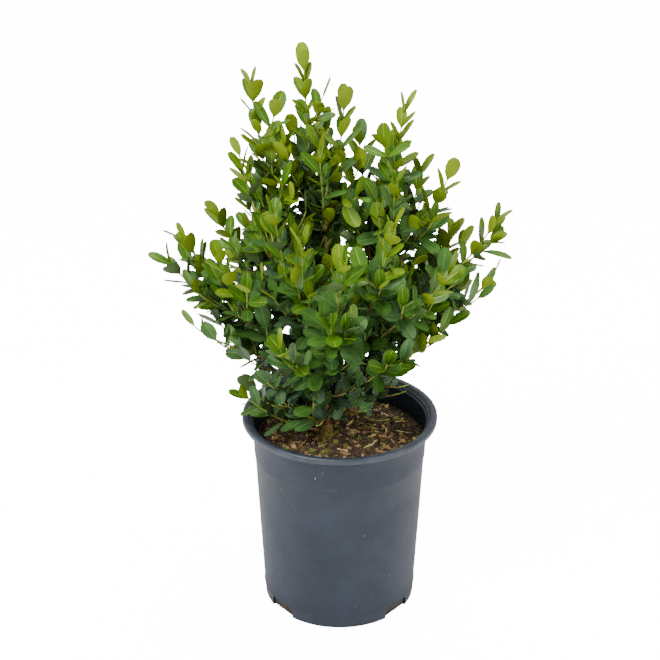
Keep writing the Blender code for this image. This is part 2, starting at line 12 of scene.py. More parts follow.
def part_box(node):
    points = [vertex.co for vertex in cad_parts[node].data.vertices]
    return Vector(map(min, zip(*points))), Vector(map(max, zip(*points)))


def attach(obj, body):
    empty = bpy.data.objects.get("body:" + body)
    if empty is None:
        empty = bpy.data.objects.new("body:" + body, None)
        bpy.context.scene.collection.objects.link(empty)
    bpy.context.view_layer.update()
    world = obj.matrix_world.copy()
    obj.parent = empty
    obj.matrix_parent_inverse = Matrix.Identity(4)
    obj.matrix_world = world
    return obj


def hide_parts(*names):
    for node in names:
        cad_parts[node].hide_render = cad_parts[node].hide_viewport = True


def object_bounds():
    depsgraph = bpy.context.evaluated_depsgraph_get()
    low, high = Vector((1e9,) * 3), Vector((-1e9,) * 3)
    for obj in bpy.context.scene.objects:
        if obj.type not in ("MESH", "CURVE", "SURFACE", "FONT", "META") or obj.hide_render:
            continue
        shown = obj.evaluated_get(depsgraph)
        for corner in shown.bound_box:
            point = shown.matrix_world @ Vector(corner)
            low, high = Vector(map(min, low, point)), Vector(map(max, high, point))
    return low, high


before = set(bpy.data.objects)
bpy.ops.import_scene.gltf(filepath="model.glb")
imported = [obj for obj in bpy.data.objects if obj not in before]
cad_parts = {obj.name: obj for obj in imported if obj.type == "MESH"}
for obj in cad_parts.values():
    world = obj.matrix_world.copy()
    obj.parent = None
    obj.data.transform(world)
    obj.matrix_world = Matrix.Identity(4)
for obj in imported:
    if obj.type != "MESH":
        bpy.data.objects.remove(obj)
cad_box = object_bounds()

UP = Vector((0.0, 0.0, 1.0))

# Pot and soil, from the frame
POT_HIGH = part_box("pot")[1]
BALL_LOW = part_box("root_ball")[0]
TRUNK_LOW, TRUNK_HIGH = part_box("trunk")
POT_HEIGHT = POT_HIGH.z
RIM_RADIUS = POT_HIGH.x
FOOT_SHARE = 0.8000
WALL_TOP_SHARE = 0.9024
FOOT_RADIUS = RIM_RADIUS * FOOT_SHARE
WALL_TOP_RADIUS = RIM_RADIUS * WALL_TOP_SHARE
LIP_WIDTH = 0.0058
LIP_DROP = 0.0055
SKIRT = 0.0013
WALL = 0.0011
BASE = 0.0020
STEP_HEIGHT = 0.1420
STEP_DEPTH = 0.0005
BAND_HEIGHT = 0.0110
BAND_DEPTH = 0.0005
CORNER = 0.0009
NOTCH_AZIMUTHS = (-139.5, -40.5, 40.5, 139.5)
NOTCH_WIDTH = 0.0275
NOTCH_HEIGHT = 0.0108
NOTCH_DEPTH = 0.0045
NOTCH_ARCH = 0.0042
NOTCH_ARCH_STEPS = 8
NOTCH_EDGE_MARGIN = 0.0001
NOTCH_OVERRUN = 0.002
CUTTER_DEPTH = 0.014
POT_STEPS = 160
POT_SHARP_ANGLE = 38.0
LEVELS_INSIDE = (0.02, 0.06, 0.10, STEP_HEIGHT - 0.001, STEP_HEIGHT + 0.001)
LEVELS_ABOVE_STEP = (STEP_HEIGHT + 0.014, STEP_HEIGHT + 0.0012, STEP_HEIGHT + 0.0002)
LEVELS_BELOW_STEP = (0.11, 0.08, 0.05, 0.025, BAND_HEIGHT + 0.0016)
BAND_EDGE = 0.0006
EDGE_MARGIN = 0.001
STEP_FALL = 0.0007
RIM_MARGIN = 0.0004
# The lip's section: how far out from its inner edge and down from the rim's top, then in from its outer
# edge and up from its lower edge
LIP_ROLL = 0.0022
LIP_INSIDE = ((-0.0006, 0.0024), (0.0, 0.0012), (0.0009, 0.0004), (0.0020, 0.0001))
LIP_UNDERSIDE = ((0.0001, 0.0007), (0.0003, 0.0002), (0.0007, 0.0), (SKIRT, 0.0002))
INNER_TOP_DROP = 0.0060
SKIRT_CREASE = (0.0003, 0.0026)
WALL_CREASE = ((0.0008, 0.0031), (0.0002, 0.0040))
# The fine ring that runs round the wall below the lip
RING_DROP = 0.0105
RING_EDGE = 0.0006
RING_PROUD = 0.00035

# Soil: its height, the heap at the trunk's foot, its lumps, coarse and fine, and the litter on it
TRUNK_SINK = 0.0015
SOIL_HEIGHT = TRUNK_LOW.z - TRUNK_SINK
SOIL_RINGS = 44
SOIL_STEPS = 180
SOIL_BODY_LEVEL = 0.02
HEAP_HEIGHT = 0.0030
HEAP_RADIUS = 0.014
LUMP_SCALE = 90.0
LUMP_HEIGHT = 0.0016
LUMP_FRACTAL = (0.9, 2.1, 4)
SOIL_GAP = 0.0002
CRUMB_SCALE = 320.0
CRUMB_HEIGHT = 0.0009
LITTER_MARGIN = 0.006
LITTER_LIFT = 0.0002
GROUND_RINGS = 30
GROUND_STEPS = 96
CHIP_WOBBLE = 0.34
CHIP_WOBBLE_SCALE = 1.7
CHIP_NOISE_SEED = 7

# Trunk: a flared foot on the soil, a slight lean, a fork just above the rim
FOOT_CENTRE = Vector((-0.0125, -0.0050, TRUNK_LOW.z))
FORK_CENTRE = Vector((-0.0110, 0.0015, TRUNK_HIGH.z))
FLARE_RADIUS = 0.0084
TRUNK_RADIUS = 0.0058
FORK_RADIUS = 0.0050
FLARE_FALL = 7.0
MOSS_HEIGHT = 0.010
TRUNK_RINGS = 26
TRUNK_SIDES = 28
TRUNK_ROOT = 0.002
TRUNK_CROWN = 0.0012
TRUNK_CROWN_SHARE = 0.72
BOUGH_SIDES = 14
BOUGH_STEP = 0.004
BOUGH_COLLAR = 0.0007
COLLAR_FALL = 2.0
# Bark: slow swellings and long fissures, as shares of the limb's radius
SWELL_SCALE = 110.0
SWELL_DEPTH = 0.10
FISSURE_SCALE = 900.0
FISSURE_SCALE_ALONG = 160.0
FISSURE_DEPTH = 0.16
BARK_LIFT = 0.04
BARK_SHARP_ANGLE = 80.0

# Boughs leave the trunk on three tiers: height below the fork, climb in degrees, radius at the base
TIERS = {"fork": (0.0, 68.0, 0.0019), "upper": (0.0065, 34.0, 0.0021), "lower": (0.0160, 26.0, 0.0021)}
FORK_RING = 0.0030
BOUGH_TIP_RADIUS = 0.0014

# name: tier, azimuth of the foot, then azimuth, reach and height of the tip
BOUGHS = {
    "top": ("fork", 150.0, 140.0, 0.0070, 0.262),
    "upper_left": ("fork", -125.0, -150.0, 0.0240, 0.250),
    "upper_right": ("fork", -10.0, 8.0, 0.0240, 0.250),
    "back": ("fork", 72.0, 88.0, 0.0280, 0.246),
    "left": ("upper", 178.0, 178.0, 0.0400, 0.238),
    "front_left": ("upper", -124.0, -118.0, 0.0320, 0.236),
    "front_right": ("upper", -64.0, -58.0, 0.0340, 0.234),
    "right": ("upper", -4.0, -4.0, 0.0400, 0.234),
    "back_right": ("upper", 56.0, 52.0, 0.0380, 0.232),
    "back_left": ("upper", 118.0, 128.0, 0.0380, 0.232),
    "left_low": ("lower", -152.0, -158.0, 0.0400, 0.226),
    "front": ("lower", -92.0, -88.0, 0.0350, 0.216),
    "right_low": ("lower", -32.0, -24.0, 0.0420, 0.220),
}

# name: bough, then the tips of the stem and of its side shoots as azimuth, reach and height
MASSES = {
    "top": ("top", (171.0, 0.019, 0.499), (125.0, 0.052, 0.432), (-176.0, 0.036, 0.421)),
    "upper_middle": ("top", (-12.0, 0.015, 0.468), (-100.0, 0.034, 0.442)),
    "upper_left": ("upper_left", (164.0, 0.066, 0.481), (-178.0, 0.046, 0.424)),
    "left_high": ("upper_left", (-171.0, 0.074, 0.432)),
    "upper_right": ("upper_right", (16.0, 0.067, 0.459), (50.0, 0.040, 0.428)),
    "right_high": ("upper_right", (3.0, 0.104, 0.406), (-20.0, 0.060, 0.410), (22.0, 0.086, 0.400)),
    "right": ("right", (-1.0, 0.146, 0.371), (14.0, 0.112, 0.345)),
    "right_middle": ("right", (-9.0, 0.147, 0.326)),
    "left": ("left", (-178.0, 0.124, 0.354)),
    "left_middle": ("left", (-174.0, 0.138, 0.336), (-168.0, 0.116, 0.312)),
    "left_low": ("left_low", (-157.0, 0.127, 0.294)),
    "left_front": ("left_low", (-152.0, 0.100, 0.352)),
    "left_back": ("back_left", (155.0, 0.110, 0.358)),
    "front_left": ("front_left", (-124.0, 0.076, 0.401)),
    "front_middle": ("front_left", (-101.0, 0.096, 0.384)),
    "front_right": ("front_right", (-57.0, 0.098, 0.392)),
    "front_far_right": ("front_right", (-32.0, 0.122, 0.348)),
    "front": ("front", (-83.0, 0.113, 0.378), (-88.0, 0.116, 0.322)),
    "front_low": ("front", (-110.0, 0.117, 0.302)),
    "front_low_right": ("right_low", (-58.0, 0.096, 0.272), (-72.0, 0.068, 0.240)),
    "right_bottom": ("right_low", (-16.0, 0.114, 0.289), (-5.0, 0.106, 0.266)),
    "back_left": ("back_left", (124.0, 0.118, 0.372), (140.0, 0.112, 0.300)),
    "back": ("back", (94.0, 0.098, 0.408)),
    "back_low": ("back", (98.0, 0.124, 0.318)),
    "back_right": ("back_right", (57.0, 0.112, 0.382)),
    "back_low_right": ("back_right", (40.0, 0.122, 0.306)),
    "low_left": ("trunk", (-164.0, 0.080, 0.213)),
    "low_front": ("trunk", (-101.0, 0.062, 0.246)),
    "low_back": ("trunk", (110.0, 0.088, 0.236)),
}
SPRIG_FEET = {"low_left": (-171.0, 0.1640), "low_front": (-122.0, 0.1735), "low_back": (108.0, 0.1660)}
# Finer shoots that fill a mass within its own reach
FILLING_TIPS = {
    "upper_middle": ((15.0, 0.030, 0.412), (-50.0, 0.046, 0.398)),
    "upper_left": ((-140.0, 0.034, 0.395),),
    "front_middle": ((-70.0, 0.046, 0.352),),
}
# Masses whose leaves are joined into one piece
SIDES = {
    "top": ("top", "upper_middle", "upper_left", "left_high", "upper_right", "right_high"),
    "left": ("left", "left_middle", "left_low", "left_front", "left_back"),
    "right": ("right", "right_middle", "front_far_right", "right_bottom"),
    "front": ("front_left", "front_middle", "front_right", "front", "front_low", "front_low_right"),
    "back": ("back_left", "back", "back_low", "back_right", "back_low_right"),
    "low": ("low_left", "low_front", "low_back"),
}

# Shoots
PATH_STEP = 0.008
STEM_LIFT = 0.35
SWEEP_PULL = 0.36
STEM_RADIUS = 0.0014
TWIG_RADIUS = 0.0010
SHOOT_TIP_RADIUS = 0.00055
TWIG_LENGTH = 0.046
TWIG_ANGLE = 50.0
TWIG_SPACING = 0.050
TWIG_LIFT = 0.9
SHOOT_START = 0.30
GOLDEN_ANGLE = 137.5
TWIG_SIDES = 7
TWIG_STEP = 0.006
ANGLE_WOBBLE = 8.0
TURN_WOBBLE = 60.0
TURN_BY_NAME = 40.0
LEAST_RISE = 0.15
TWIG_SHORTENING = 0.35
TWIG_SIZES = (0.85, 1.15)
LEAVING_SHARE = 0.6
ARRIVING_SHARE = 0.4
ALONG_STEM = 0.4
FINE_LENGTH = 0.040
FINE_SPACING = 0.0165
GREEN_WOOD = 0.060
INNER_SPACING = 0.012
INNER_LENGTH = 0.046
INNER_SIZE = 0.80
INNER_TURN_WOBBLE = 30.0
INNER_SIZES = (0.7, 1.15)
INNER_GREEN_WOOD = 0.015
SHOOT_BY_SHOOT = 0.12
SHOOT_PULL = 1.5
REACH_KEPT = 0.8
FIRST_TWIG = 0.45
FIRST_FINE_TWIG = 0.95
SIDE_SHOOT_RADIUS = TWIG_RADIUS * 1.1
STEM_BARE = 0.012
SPRIG_CLIMB = 12.0
TAN_SPAN = 2.6
INNER_ALONG = 0.5
INNER_OUTWARD = 0.5
INNER_LIFT = 0.7
INNER_END = 0.98
LAST_PAIR = 0.985
# A shoot's vigour makes its leaves newer in tone. Below zero they are smaller too.
VIGOUR = {"stem": 1.0, "shoot": 0.9, "twig": 0.3, "inner": -0.8}

# Leaves
LEAF_LENGTH = 0.0228
LEAF_PROPORTION = 0.53
LEAF_THICKNESS = 0.0004
LEAF_STATIONS = (-0.03, 0.08, 0.26, 0.50, 0.74, 0.91, 1.0)
LEAF_HALF_WIDTHS = (0.10, 0.32, 0.78, 0.98, 0.96, 0.66, 0.28)
LEAF_COLUMNS = (-1.0, -0.5, -0.055, 0.055, 0.5, 1.0)
INTERNODE = 0.0118
FIRST_LEAF = 0.010
LEAF_ANGLE = 56.0
END_ANGLE = 22.0
END_LEAF_REACH = 0.0145
LEADER = 0.046
UNDERSIDE_HEIGHT = 0.130
UNDERSIDE_SLOPE = 1.26
LEAF_ROOM = 0.0056
SOIL_ROOM = 0.010
ROOM_ABOVE = 0.0008
ROOM_INSIDE = 0.0010
ROOM_OUTSIDE = 0.0012
REACH_ALLOWANCE = 0.010
# How leaves differ from one another, as ranges of each value
MISSING_LEAVES = 0.05
LEAF_ANGLE_WOBBLE = 10.0
LEAF_TURN_WOBBLE = 0.25
LEAF_ROLL_WOBBLE = 0.35
LEAF_SIZES = (0.82, 1.14)
END_SHRINK = 0.10
LEAF_WIDTHS = (0.90, 1.10)
CUPS = (0.06, 0.24)
BENDS = (-0.10, 0.10)
TWISTS = (-0.15, 0.15)
# A blade's cup, sunken midrib, notched tip and upward face, its sharp edges and its back's patches
CUP_POWER = 1.4
RIB_DEPTH = 0.06
TIP_NOTCH = 0.010
LEAF_LIFT = 0.35
LEAF_SHARP_ANGLE = 50.0
BACK_PATCH_SHADE = 0.8
# A leaf's tone by its place: newer high up, far out, near the shoot's tip and on strong shoots
OLDEST_TONE = 4.6
TONE_BY_HEIGHT = 3.2
TONE_BY_REACH = 0.9
FULL_REACH = 0.13
TONE_BY_TIP = 0.75
TIP_LENGTH = 0.030
SPRAY_TONE_SPREAD = 0.55
LEAF_TONE_SPREAD = 0.45
LIGHT_VEINED_TONES = 3

# Camera as in the photo
CAMERA_PLACE = (0.0, -1.1287, 0.7814)
CAMERA_PITCH = 24.876
CAMERA_YAW = 0.43
CAMERA_LENS = 80.0
CAMERA_SENSOR = 36.0

# Studio: each light's place, size and strength
MIDDLE = (0.0, 0.0, 0.25)
LIGHTS = {
    "key": ((-1.1, -1.2, 1.9), 0.8, 62.0),
    "fill": ((1.5, -1.0, 1.0), 1.2, 14.0),
    "top": ((0.2, 0.6, 2.2), 1.0, 40.0),
}
SKY_STRENGTH = 0.85
FLOOR_HALF = 12.0
FLOOR_DROP = 0.0001
FLOOR_SHADE = 0.92
FLOOR_GLOW = 14.0


def linear(red, green, blue):
    """A colour in linear light from its screen values."""
    colour = []
    for value in (red, green, blue):
        share = value / 255
        colour.append(((share + 0.055) / 1.055) ** 2.4 if value > 10 else share / 12.92)
    return tuple(colour)


# Leaf colours from the newest to the oldest, each with the colour of its patches
LEAF_TONES = {
    "newest": (linear(128, 150, 2), linear(104, 134, 2)),
    "young": (linear(100, 130, 2), linear(80, 114, 2)),
    "fresh": (linear(76, 117, 20), linear(60, 100, 18)),
    "green": (linear(71, 112, 40), linear(56, 95, 36)),
    "full": (linear(70, 106, 52), linear(53, 88, 45)),
    "deep": (linear(69, 96, 63), linear(52, 79, 54)),
    "old": (linear(64, 86, 68), linear(49, 71, 58)),
}
TONE_NAMES = tuple(LEAF_TONES)
VEIN_TONES = {"light": linear(132, 160, 34), "dark": linear(92, 126, 44)}
BACK_TONES = {"light": linear(124, 146, 20), "dark": linear(76, 100, 52)}


# Skeleton: where the trunk, boughs, stems and twigs run
def polar(azimuth, reach, height):
    """A place by azimuth and reach round the fork's axis."""
    angle = math.radians(azimuth)
    across = FORK_CENTRE.x + reach * math.cos(angle)
    return Vector((across, FORK_CENTRE.y + reach * math.sin(angle), height))


def heading(azimuth, climb):
    """A unit vector from an azimuth and a climb in degrees."""
    flat = math.cos(math.radians(climb))
    angle = math.radians(azimuth)
    return Vector((flat * math.cos(angle), flat * math.sin(angle), math.sin(math.radians(climb))))


def sweep(start, start_way, end, end_way, step=PATH_STEP):
    """Points of a smooth path that leaves along one heading and arrives along another."""
    pull = (end - start).length * SWEEP_PULL
    knots = (start, start + start_way * pull, end - end_way * pull, end)
    count = max(3, round((end - start).length / step) + 1)
    points = []
    for index in range(count):
        t = index / (count - 1)
        weights = ((1 - t) ** 3, 3 * t * (1 - t) ** 2, 3 * t * t * (1 - t), t ** 3)
        points.append(sum((knot * weight for knot, weight in zip(knots, weights)), Vector()))
    return points


def path_length(points):
    """Length along a path."""
    return sum((b - a).length for a, b in zip(points, points[1:]))


def along(points, distance):
    """Place and heading at a distance along a path."""
    for a, b in zip(points, points[1:]):
        length = (b - a).length
        if distance <= length or b is points[-1]:
            way = (b - a) / length
            return a + way * distance, way
        distance -= length


def side_frame(way):
    """Two unit vectors square to a heading, the first as level as can be."""
    level = way.cross(UP)
    if level.length < 0.05:
        level = Vector((1.0, 0.0, 0.0)).cross(way)
    level.normalize()
    return level, level.cross(way)


def trunk_centre(height):
    """Centre of the trunk at a height."""
    share = (height - FOOT_CENTRE.z) / (FORK_CENTRE.z - FOOT_CENTRE.z)
    return FOOT_CENTRE.lerp(FORK_CENTRE, share)


def trunk_radius(height):
    """The trunk flares at its foot and thins to the fork."""
    share = (height - FOOT_CENTRE.z) / (FORK_CENTRE.z - FOOT_CENTRE.z)
    flare = (FLARE_RADIUS - TRUNK_RADIUS) * math.exp(-max(share, -0.1) * FLARE_FALL)
    return TRUNK_RADIUS + (FORK_RADIUS - TRUNK_RADIUS) * share + flare


def bough_path(name):
    """A bough climbs from inside the trunk to its tip."""
    tier, foot_azimuth, azimuth, reach, height = BOUGHS[name]
    drop, climb, radius = TIERS[tier]
    out = heading(foot_azimuth, 0.0)
    foot_height = FORK_CENTRE.z - drop
    if tier == "fork":
        foot = FORK_CENTRE + out * FORK_RING - UP * radius
    else:
        foot = trunk_centre(foot_height) + out * (trunk_radius(foot_height) - radius)
    tip = polar(azimuth, reach, height)
    arrive = ((tip - foot).normalized() + UP * STEM_LIFT).normalized()
    return sweep(foot, heading(foot_azimuth, climb), tip, arrive, step=BOUGH_STEP)


def stem_paths(name, boughs):
    """The stem of a mass and the side shoots that leave it."""
    home, *tips = MASSES[name]
    tips += FILLING_TIPS.get(name, ())
    end = polar(*tips[0])
    if home == "trunk":
        azimuth, height = SPRIG_FEET[name]
        way = heading(azimuth, SPRIG_CLIMB)
        start = trunk_centre(height) + heading(azimuth, 0.0) * (trunk_radius(height) - STEM_RADIUS)
    else:
        limb = boughs[home]
        limb_way = (limb[-1] - limb[-2]).normalized()
        way = (limb_way + (end - limb[-1]).normalized()).normalized()
        start = limb[-1] - limb_way * STEM_RADIUS
    arrive = ((end - start).normalized() + UP * STEM_LIFT).normalized()
    paths = [sweep(start, way, end - arrive * END_LEAF_REACH, arrive)]
    for index, tip in enumerate(tips[1:]):
        leave = path_length(paths[0]) * (SHOOT_START + SHOOT_BY_SHOOT * index)
        place, stem_way = along(paths[0], leave)
        target = polar(*tip)
        toward = (target - place).normalized()
        arrive = (toward + UP * STEM_LIFT).normalized()
        leave_way = (stem_way + toward * SHOOT_PULL).normalized()
        paths.append(sweep(place, leave_way, target - arrive * END_LEAF_REACH, arrive))
    return paths


def side_twigs(name, paths, spacing, reach, first=FIRST_TWIG):
    """Short twigs that leave the stem and its shoots by the seeded rule, at one spacing."""
    twigs = []
    furthest = MASSES[name.removeprefix("foliage_")][1][1] - END_LEAF_REACH * REACH_KEPT
    for order, path in enumerate(paths):
        length = path_length(path)
        for index in range(int(length / spacing)):
            share = (index + first) * spacing / length
            if length * (1.0 - share) < LEADER:
                continue
            chance = random.Random(f"{name} {order} {index}")
            place, way = along(path, length * share)
            level, rise = side_frame(way)
            turn = GOLDEN_ANGLE * (index + 3 * order) + chance.uniform(0.0, TURN_WOBBLE)
            turn = math.radians(turn + TURN_BY_NAME * len(name))
            aside = level * math.cos(turn) + rise * math.sin(turn)
            aside.z = max(aside.z, LEAST_RISE)
            angle = math.radians(TWIG_ANGLE + chance.uniform(-ANGLE_WOBBLE, ANGLE_WOBBLE))
            leave = (way * math.cos(angle) + aside.normalized() * math.sin(angle)).normalized()
            length_here = reach * (1.0 - TWIG_SHORTENING * share) * chance.uniform(*TWIG_SIZES)
            arrive = (leave + way * ALONG_STEM + UP * TWIG_LIFT).normalized()
            run = (leave * LEAVING_SHARE + arrive * ARRIVING_SHARE).normalized()
            end = place + run * length_here
            out = end - FORK_CENTRE
            out.z = 0.0
            if out.length > furthest:
                end -= out.normalized() * (out.length - furthest)
            twigs.append(sweep(place, leave, end, arrive, step=TWIG_STEP))
    return twigs


# Meshes of limbs and leaves
class Bundle:
    """Points, faces and finishes gathered for one joined piece."""

    def __init__(self, name, finishes):
        self.name = name
        self.finishes = finishes
        self.points = []
        self.faces = []
        self.slots = []
        self.count = 0

    def add(self, points, faces, slots):
        self.points.append(points)
        self.faces += [tuple(self.count + corner for corner in face) for face in faces]
        self.slots += slots
        self.count += len(points)

    def piece(self, sharp=LEAF_SHARP_ANGLE):
        """The joined mesh as an object in the scene."""
        mesh = bpy.data.meshes.new(self.name)
        mesh.from_pydata(np.concatenate(self.points).tolist(), [], self.faces)
        for finish in self.finishes:
            mesh.materials.append(finish)
        mesh.polygons.foreach_set("material_index", self.slots)
        mesh.shade_smooth()
        mesh.set_sharp_from_angle(angle=math.radians(sharp))
        mesh.update()
        return show(self.name, mesh)


def show(name, mesh):
    """A new object of a mesh, linked to the scene."""
    made = bpy.data.objects.new(name, mesh)
    bpy.context.scene.collection.objects.link(made)
    return made


def rings(path, radii, sides, relief=None):
    """Points and faces of a closed limb round a path, with an even frame and an optional relief."""
    level, rise = side_frame((path[1] - path[0]).normalized())
    points = []
    last = len(path) - 1
    for index, (place, radius) in enumerate(zip(path, radii)):
        way = (path[min(index + 1, last)] - path[max(index - 1, 0)]).normalized()
        level = (level - way * level.dot(way)).normalized()
        rise = way.cross(level)
        for side in range(sides):
            turn = 2 * math.pi * side / sides
            out = level * math.cos(turn) + rise * math.sin(turn)
            here = radius if relief is None else radius * (1.0 + relief(place + out * radius))
            points.append(place + out * here)
    faces = []
    for index in range(last):
        for side in range(sides):
            a = index * sides + side
            b = index * sides + (side + 1) % sides
            faces.append((a, b, b + sides, a + sides))
    faces.append(tuple(reversed(range(sides))))
    faces.append(tuple(range(last * sides, last * sides + sides)))
    return np.array([tuple(point) for point in points]), faces


def leaf_grid():
    """The faces of a leaf and the kind of each: 0 blade, 1 midrib, 2 underside."""
    width = len(LEAF_COLUMNS)
    last = len(LEAF_STATIONS) - 1
    faces = []
    kinds = []
    for row in range(last):
        for column in range(width - 1):
            a = row * width + column
            faces.append((a, a + width, a + width + 1, a + 1))
            kinds.append(1 if column == width // 2 - 1 else 0)
    under = (last + 1) * width
    edge = width - 1
    for row in range(1, last - 1):
        keel = under + row - 1
        faces.append((row * width, keel, keel + 1, (row + 1) * width))
        faces.append((keel, row * width + edge, (row + 1) * width + edge, keel + 1))
    first = under
    faces += [(0, first, width), (*range(width), first), (first, edge, width + edge)]
    final = under + last - 2
    row = last * width
    faces += [(row - width, final, row), (final, *reversed(range(row, row + width)))]
    faces.append((final, row - 1, row + edge))
    kinds += [2] * (len(faces) - len(kinds))
    return faces, kinds


LEAF_FACES, LEAF_KINDS = leaf_grid()


def leaf_blade(length, proportion, cup, bend, twist):
    """Points of one leaf along +X, its upper side +Z: cupped across and bent along."""
    half = length * proportion / 2
    last = len(LEAF_STATIONS) - 1
    top = []
    keel = []
    for row, (share, width) in enumerate(zip(LEAF_STATIONS, LEAF_HALF_WIDTHS)):
        rise = bend * length * share * share
        for column in LEAF_COLUMNS:
            out = half * width * column
            lift = cup * half * width * abs(column) ** CUP_POWER + twist * out * share
            inner = abs(column) < 1.0 and 0 < row < last
            notch = -TIP_NOTCH * length if row == last and abs(column) < 0.4 else 0.0
            rib = -RIB_DEPTH * half if abs(column) < 0.2 and 0 < row < last else 0.0
            thick = LEAF_THICKNESS / 2 if inner else 0.0
            top.append((length * share + notch, out, rise + lift + rib + thick))
        if 0 < row < last:
            keel.append((length * share, 0.0, rise - RIB_DEPTH * half - LEAF_THICKNESS / 2))
    return np.array(top + keel)


def leaf_frame(place, way, turn, angle, roll):
    """Where a leaf sits: its root on the twig's axis, its upper side towards the twig's end."""
    level, rise = side_frame(way)
    aside = level * math.cos(turn) + rise * math.sin(turn)
    out = (way * math.cos(angle) + aside * math.sin(angle)).normalized()
    face = way - out * way.dot(out)
    face = face.normalized() + UP * LEAF_LIFT + level * roll
    face = (face - out * face.dot(out)).normalized()
    return np.array([tuple(out), tuple(face.cross(out)), tuple(face)]), np.array(tuple(place))


class Crowding:
    """Keeps the middles of the leaves a little apart."""

    def __init__(self, room):
        self.room = room
        self.cells = {}

    def free(self, place):
        cell = tuple(int(math.floor(value / self.room)) for value in place)
        for step in itertools.product((-1, 0, 1), repeat=3):
            near = tuple(a + b for a, b in zip(cell, step))
            for taken in self.cells.get(near, ()):
                if sum((a - b) ** 2 for a, b in zip(place, taken)) < self.room ** 2:
                    return False
        self.cells.setdefault(cell, []).append(tuple(place))
        return True


def wall_radius(height):
    """Outer radius of the pot's wall."""
    radius = FOOT_RADIUS + (WALL_TOP_RADIUS - FOOT_RADIUS) * height / POT_HEIGHT
    return radius - STEP_DEPTH if height < STEP_HEIGHT else radius


def clears_pot(points):
    """Whether a leaf's points miss the pot's wall and the soil."""
    for x, y, z in points:
        radius = math.hypot(x, y)
        inside = wall_radius(z) - WALL - ROOM_INSIDE
        if z < POT_HEIGHT + ROOM_ABOVE and inside < radius < RIM_RADIUS + ROOM_OUTSIDE:
            return False
        if z < SOIL_HEIGHT + SOIL_ROOM and radius < RIM_RADIUS:
            return False
    return True


def grow_leaves(name, shoots, low, high, bundle, crowding):
    """Pairs of leaves along every shoot of a mass, each pair turned a quarter from the last."""
    from_trunk = name.removeprefix("foliage_") in SPRIG_FEET
    for order, (path, first, vigour) in enumerate(shoots):
        grown = INNER_SIZE if vigour < 0.0 else 1.0
        chance = random.Random(f"{name} leaves {order}")
        length = path_length(path)
        count = max(1, round((length - first) / INTERNODE))
        turn = chance.uniform(0.0, math.pi)
        spray_tone = chance.gauss(0.0, SPRAY_TONE_SPREAD)
        for index in range(count + 1):
            share = index / count
            place, way = along(path, first + (length - first) * share * LAST_PAIR)
            height = (place.z - SOIL_HEIGHT) / (cad_box[1].z - SOIL_HEIGHT)
            out = min(1.0, math.hypot(place.x - FORK_CENTRE.x, place.y - FORK_CENTRE.y) / FULL_REACH)
            from_tip = (length - first) * (1.0 - share)
            angle = math.radians(LEAF_ANGLE + (END_ANGLE - LEAF_ANGLE) * share ** 3)
            for side in (0.0, math.pi):
                if chance.random() < MISSING_LEAVES * (1.0 - share):
                    continue
                spread = angle + math.radians(chance.uniform(-LEAF_ANGLE_WOBBLE, LEAF_ANGLE_WOBBLE))
                size = LEAF_LENGTH * grown * (1.0 - END_SHRINK * share ** 3) * chance.uniform(*LEAF_SIZES)
                around = turn + side + index * math.pi / 2
                around += chance.uniform(-LEAF_TURN_WOBBLE, LEAF_TURN_WOBBLE)
                roll = chance.uniform(-LEAF_ROLL_WOBBLE, LEAF_ROLL_WOBBLE)
                axes, root = leaf_frame(place, way, around, spread, roll)
                proportion = LEAF_PROPORTION * chance.uniform(*LEAF_WIDTHS)
                cup, bend, twist = (chance.uniform(*spans) for spans in (CUPS, BENDS, TWISTS))
                points = leaf_blade(size, proportion, cup, bend, twist) @ axes + root
                if (points < low).any() or (points > high).any() or not clears_pot(points[::5]):
                    continue
                away = np.hypot(points[:, 0] - FORK_CENTRE.x, points[:, 1] - FORK_CENTRE.y)
                lowest = UNDERSIDE_HEIGHT + UNDERSIDE_SLOPE * away
                if not from_trunk and (points[:, 2] < lowest).any():
                    continue
                if not crowding.free(points.mean(axis=0)):
                    continue
                age = OLDEST_TONE - TONE_BY_HEIGHT * height - TONE_BY_REACH * out
                age += from_tip / TIP_LENGTH * TONE_BY_TIP - vigour
                shade = round(age + spray_tone + chance.gauss(0.0, LEAF_TONE_SPREAD))
                tone = min(len(TONE_NAMES) - 1, max(0, shade))
                vein = len(TONE_NAMES) + (0 if tone < LIGHT_VEINED_TONES else 1)
                slots = (tone, vein, vein + 2)
                bundle.add(points, LEAF_FACES, [slots[kind] for kind in LEAF_KINDS])


# Finishes
def node_group(name, inputs, outputs):
    """An empty shader group with named sockets, and its input and output nodes."""
    group = bpy.data.node_groups.new(name, "ShaderNodeTree")
    for label, kind, value in inputs:
        socket = group.interface.new_socket(label, in_out="INPUT", socket_type=kind)
        socket.default_value = value
    for label, kind in outputs:
        group.interface.new_socket(label, in_out="OUTPUT", socket_type=kind)
    return group, group.nodes.new("NodeGroupInput"), group.nodes.new("NodeGroupOutput")


def add_node(tree, kind, **settings):
    """A node with its settings and its unlinked input values."""
    node = tree.nodes.new(kind)
    for label, value in settings.items():
        if label in node.bl_rna.properties:
            setattr(node, label, value)
        else:
            node.inputs[label.replace("_", " ")].default_value = value
    return node


def blend_node(tree, factor, first, second, kind="MIX"):
    """Mixes two colours by a factor and gives the result socket."""
    node = tree.nodes.new("ShaderNodeMix")
    node.data_type = "RGBA"
    node.blend_type = kind
    for index, value in ((0, factor), (6, first), (7, second)):
        if hasattr(value, "links"):
            tree.links.new(value, node.inputs[index])
        else:
            node.inputs[index].default_value = value if index == 0 else (*value, 1.0)
    return node.outputs[2]


